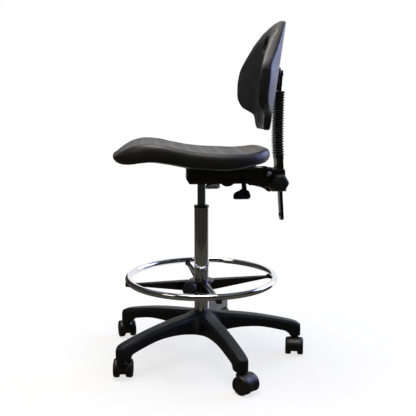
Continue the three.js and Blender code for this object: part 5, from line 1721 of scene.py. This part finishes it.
# %% Pivot bolt and nuts
bolt = turned([(CORE, -47.2), (2.4, -47.1), (4.4, -46.6), (6.6, -45.4), (8.4, -43.4), (9.4, -41.6),
               (9.6, -40.6), (9.2, -40.4), (5, -40.5), (5, 49.6), (4.4, 50.2), (CORE, 50.2)],
              pin_at(PIVOT), Y_AXIS, steps=48)
finished(bolt, "domed_pivot_bolt", "seat", "zinc_fittings", "pivot_bolt")
for pin, start, radius, bore, name, node in (
    (PIVOT, 40.5, 9.5, 5.3, "pivot_hexagon_nut", "pivot_nut"),
    (LOCK, 36.8, 7.5, 4.3, "spindle_hexagon_nut", "lock_nut"),
):
    nut = turned([(bore, start), (radius, start), (radius, start + 7), (bore, start + 7)], pin_at(pin),
                 Y_AXIS, steps=6, bevel_mm=0.7)
    finished(nut, name, "seat", "zinc_fittings", node)

# %% [markdown]
# ## Levers
# Both levers end in a fan-shaped paddle with a thumb recess. The one on the near side turns a cam on the
# cross pin and locks the back. The one on the far side is clipped on a bent rod that presses the release
# pin of the gas lift.

# %% Paddles


def paddle(width, height, thick=8):
    """A fan-shaped moulding that hangs from the drawing's origin and faces -y."""
    w, h, half = width / 60, height / 44, thick / 2
    blade = plate([(5 * w, 0), (-2 * w, -8 * h, 6), (-26 * w, -20 * h, 9), (-33 * w, -height, 14),
                   (33 * w, -height, 15), (28 * w, -14 * h, 7), (18.5 * w, -8 * h, 3), (18 * w, 0)],
                  "y", -half, half, 2.2, segments=3, steps=6)
    dish = plate([(-6 * w, -15 * h, 6), (-19 * w, 9 - height, 6), (20 * w, 9 - height, 6),
                  (17 * w, -15 * h, 6)], "y", -half - 4, -half + 1.7, 1.4, segments=3, steps=6)
    return cut_out(blade, dish)


def placed(piece, x_degrees, point):
    """Turns a piece drawn at the drawing's origin about x and moves it to a drawing point."""
    turn = Matrix.Rotation(math.radians(x_degrees), 4, "X")
    piece.data.transform(Matrix.Translation(at(*point)) @ turn @ Matrix.Translation(-ORIGIN))
    return piece


print("paddles can be moulded")

# %% [markdown]
# The cam is a short cylinder with a slot that clears the spindle. A stem leads from it to the paddle, and
# the whole lever leans outwards, so that a thumb finds it under the seat.

# %% Lock lever
cam = turned([(2.3, -8), (9, -8), (9.5, -7.5), (9.5, 7.5), (9, 8), (2.3, 8)], ORIGIN, X_AXIS, steps=48)
cut_out(cam, plate([(-4.7, -6), (4.7, -6), (4.7, 19), (-4.7, 19)], "z", -7, 15, 0))
stem = plate([(-11, -3), (-12, -36, 2), (4, -36, 2), (4, -3)], "y", -5, 3, 1.4, segments=3)
handle = paddle(58, 42)
handle.data.transform(Matrix.Translation(Vector((-15, -1, -27)) / 1000))
lock_lever = placed(joined(cam, stem, handle), -38, (LOCK[0], CAM_Y, LOCK[1]))
finished(lock_lever, "lock_cam_lever", "lock_lever", "lever_nylon", "lock_lever", smooth_deg=50)

# %% [markdown]
# The lift lever's rod is a round bar that bends softly through a few points and tapers a little at both
# ends. Its loops are carried along without a twist.

# %% Swept bars


def smooth_path(knots, per_span=6):
    """Points of a soft curve through the knots."""
    path = []
    for i in range(len(knots) - 1):
        a, b = knots[max(i - 1, 0)], knots[i]
        c, d = knots[i + 1], knots[min(i + 2, len(knots) - 1)]
        for step in range(per_span + (i == len(knots) - 2)):
            t = step / per_span
            path.append((b * (2 - 5 * t * t + 3 * t**3) + c * (t + 4 * t * t - 3 * t**3)
                         + a * (2 * t * t - t - t**3) + d * (t**3 - t * t)) / 2)
    return path


def swept(points, radius_mm, sides=16):
    """A round bar bent through drawing points."""
    path = smooth_path([at(*p) for p in points])
    loops, side = [], Vector(X_AXIS)
    for i, here in enumerate(path):
        along = (path[min(i + 1, len(path) - 1)] - path[max(i - 1, 0)]).normalized()
        side = (side - along * side.dot(along)).normalized()
        up = along.cross(side)
        size = radius_mm / 1000 * (0.8 if i in (0, len(path) - 1) else 1)
        angles = [2 * math.pi * k / sides for k in range(sides)]
        loops.append([here + (side * math.cos(a) + up * math.sin(a)) * size for a in angles])
    extruded_through(loops, closed=True)
    return close_ends()


print("bars can be swept")

# %% [markdown]
# The rod comes out of the housing level and then bends down and outwards, to the paddle on its end.

# %% Lift lever
rod = swept([(0, -8, 660.8), (0, 18, 660.8), (0, 36.5, 660.8), (6, 48.5, 657.8), (26, 62.5, 630.8),
             (48, 80.5, 602.8)], 3.5)
finished(rod, "bent_lift_rod", "lift_lever", "mechanism_paint", "lift_lever_rod")
grip_paddle = placed(paddle(52, 44), 50, (49, 74.5, 611.5))
finished(grip_paddle, "lift_paddle", "lift_lever", "lever_nylon", "lift_lever_paddle", smooth_deg=50)

# %% [markdown]
# The knob at the back is the six-lobed one. Its stud presses on the upright inside the sleeve.

# %% Back height knob
KNOB_WAY = (0, -1, 0)
height_knob = clamp_knob(30.5, 30, 6, 42.2, pin_at(CLAMP), KNOB_WAY)
stud = turned([(CORE, 20.4), (4.4, 20.4), (5, 21), (5, 44), (CORE, 44)], pin_at(CLAMP), KNOB_WAY, steps=32)
finished(joined(height_knob, stud), "back_height_knob", "height_knob", "knob_nylon", "height_knob",
         smooth_deg=50)

# %% [markdown]
# ## Upright and bellows
# The upright is flat bar with rounded ends, bent twice. A riveted stop near its foot keeps it in the
# sleeve.

# %% Upright bar
BAR_T, END_R, LOW_END, HIGH_END = 10, 14, 498, 979
heights = [BAR_FOOT_Z, 484.4, 485.5, 487, 490, 494] + [mix(LOW_END, HIGH_END, i / 48) for i in range(49)]
heights += [983, 987, 990, 991.5, 992.6, BAR_TOP_Z]


def bar_width(z):
    """The bar's width, which closes in an arc at both ends."""
    into = max(LOW_END - z, z - HIGH_END, 0)
    return 2 * (6 + math.sqrt(max(END_R**2 - into**2, 0)))


ends = (BAR_FOOT_Z, BAR_TOP_Z)
bar_loops = [box_loop(z, BAR_T - (1.6 if z in ends else 0), bar_width(z), 1.4) for z in heights]
extruded_through(bar_loops, closed=True)
upright = close_ends()
stop = turned([(CORE, -5), (5, -5), (5, 2.6), (4.2, 3.6), (2.4, 4.2), (CORE, 4.3)],
              at(bar_x(503) - 5, 0, 503), (-1, 0, 0), steps=28)
finished(joined(upright, stop), "bent_flat_upright", "upright", "mechanism_paint", "upright_bar")

# %% [markdown]
# The bellows hangs on the upright and stands on the sleeve. Its
# folds are soft in the valleys and sharper on their ridges, and its rubber is 1.6 mm thick.

# %% Bellows
RIBS, BELLOWS_LOW, BELLOWS_HIGH, FOLD_OUT, RUBBER_MM = 25, 709.3, 924, 10, 1.6
pitch = (BELLOWS_HIGH - BELLOWS_LOW) / RIBS
fold = [(0, 0), (0.2, 0.28), (0.42, 0.93), (0.5, 1), (0.58, 0.93), (0.8, 0.28)]
folds = [(BELLOWS_LOW + pitch * (i + share), FOLD_OUT * out) for i in range(RIBS) for share, out in fold]
folds.append((BELLOWS_HIGH, 0))
extruded_through([box_loop(z, 22.5 + out, 62 + out, 6) for z, out in folds], closed=True)
bpy.ops.mesh.select_all(action="SELECT")
bpy.ops.mesh.normals_make_consistent(inside=False)
bpy.ops.object.mode_set(mode="OBJECT")
bellows = bpy.context.object
apply_modifier(bellows, "SOLIDIFY", thickness=RUBBER_MM / 1000, offset=-1)
bend = ("bracket", "upright", at(bar_x(712), 0, 712), at(bar_x(920), 0, 920))
finished(bellows, "ribbed_bellows", bend, "bellows_rubber", "bellows", smooth_deg=60)

# %% [markdown]
# A block between the upright and the backrest carries two screws, which go forward into the foam's
# insert.

# %% Mount block and screws
HALF_BAR = 5.3
mount = plate([(back_rear(0, 1000) + 0.3, 1000), (back_rear(0, 928) + 0.3, 928), (bar_x(928) - HALF_BAR, 928),
               (bar_x(964) - HALF_BAR, 964), (bar_x(1000) - HALF_BAR, 1000)], "y", -26, 26, 1.6, segments=3)
finished(mount, "back_mount_block", "upright", "mechanism_paint", "back_mount")
slope = math.atan2(BAR_TOP_X - bar_x(930), BAR_TOP_Z - 930)
outward = Vector((math.cos(slope), 0, -math.sin(slope)))
for z, name, node in (
    (948, "lower_back_screw", "back_screw_lower"),
    (982, "upper_back_screw", "back_screw_upper"),
):
    tip = back_rear(0, z) - bar_x(z)
    screw = turned([(CORE, 6), (3, 6), (3, 9.6), (4.4, 10), (6.2, 9.2), (7.3, 7.4), (7.5, 5.6), (7.2, 5.3),
                    (4, 5.3), (4, tip + 1), (CORE, tip + 0.8)], at(bar_x(z), 0, z), outward, steps=36)
    finished(screw, name, "upright", "zinc_fittings", node)
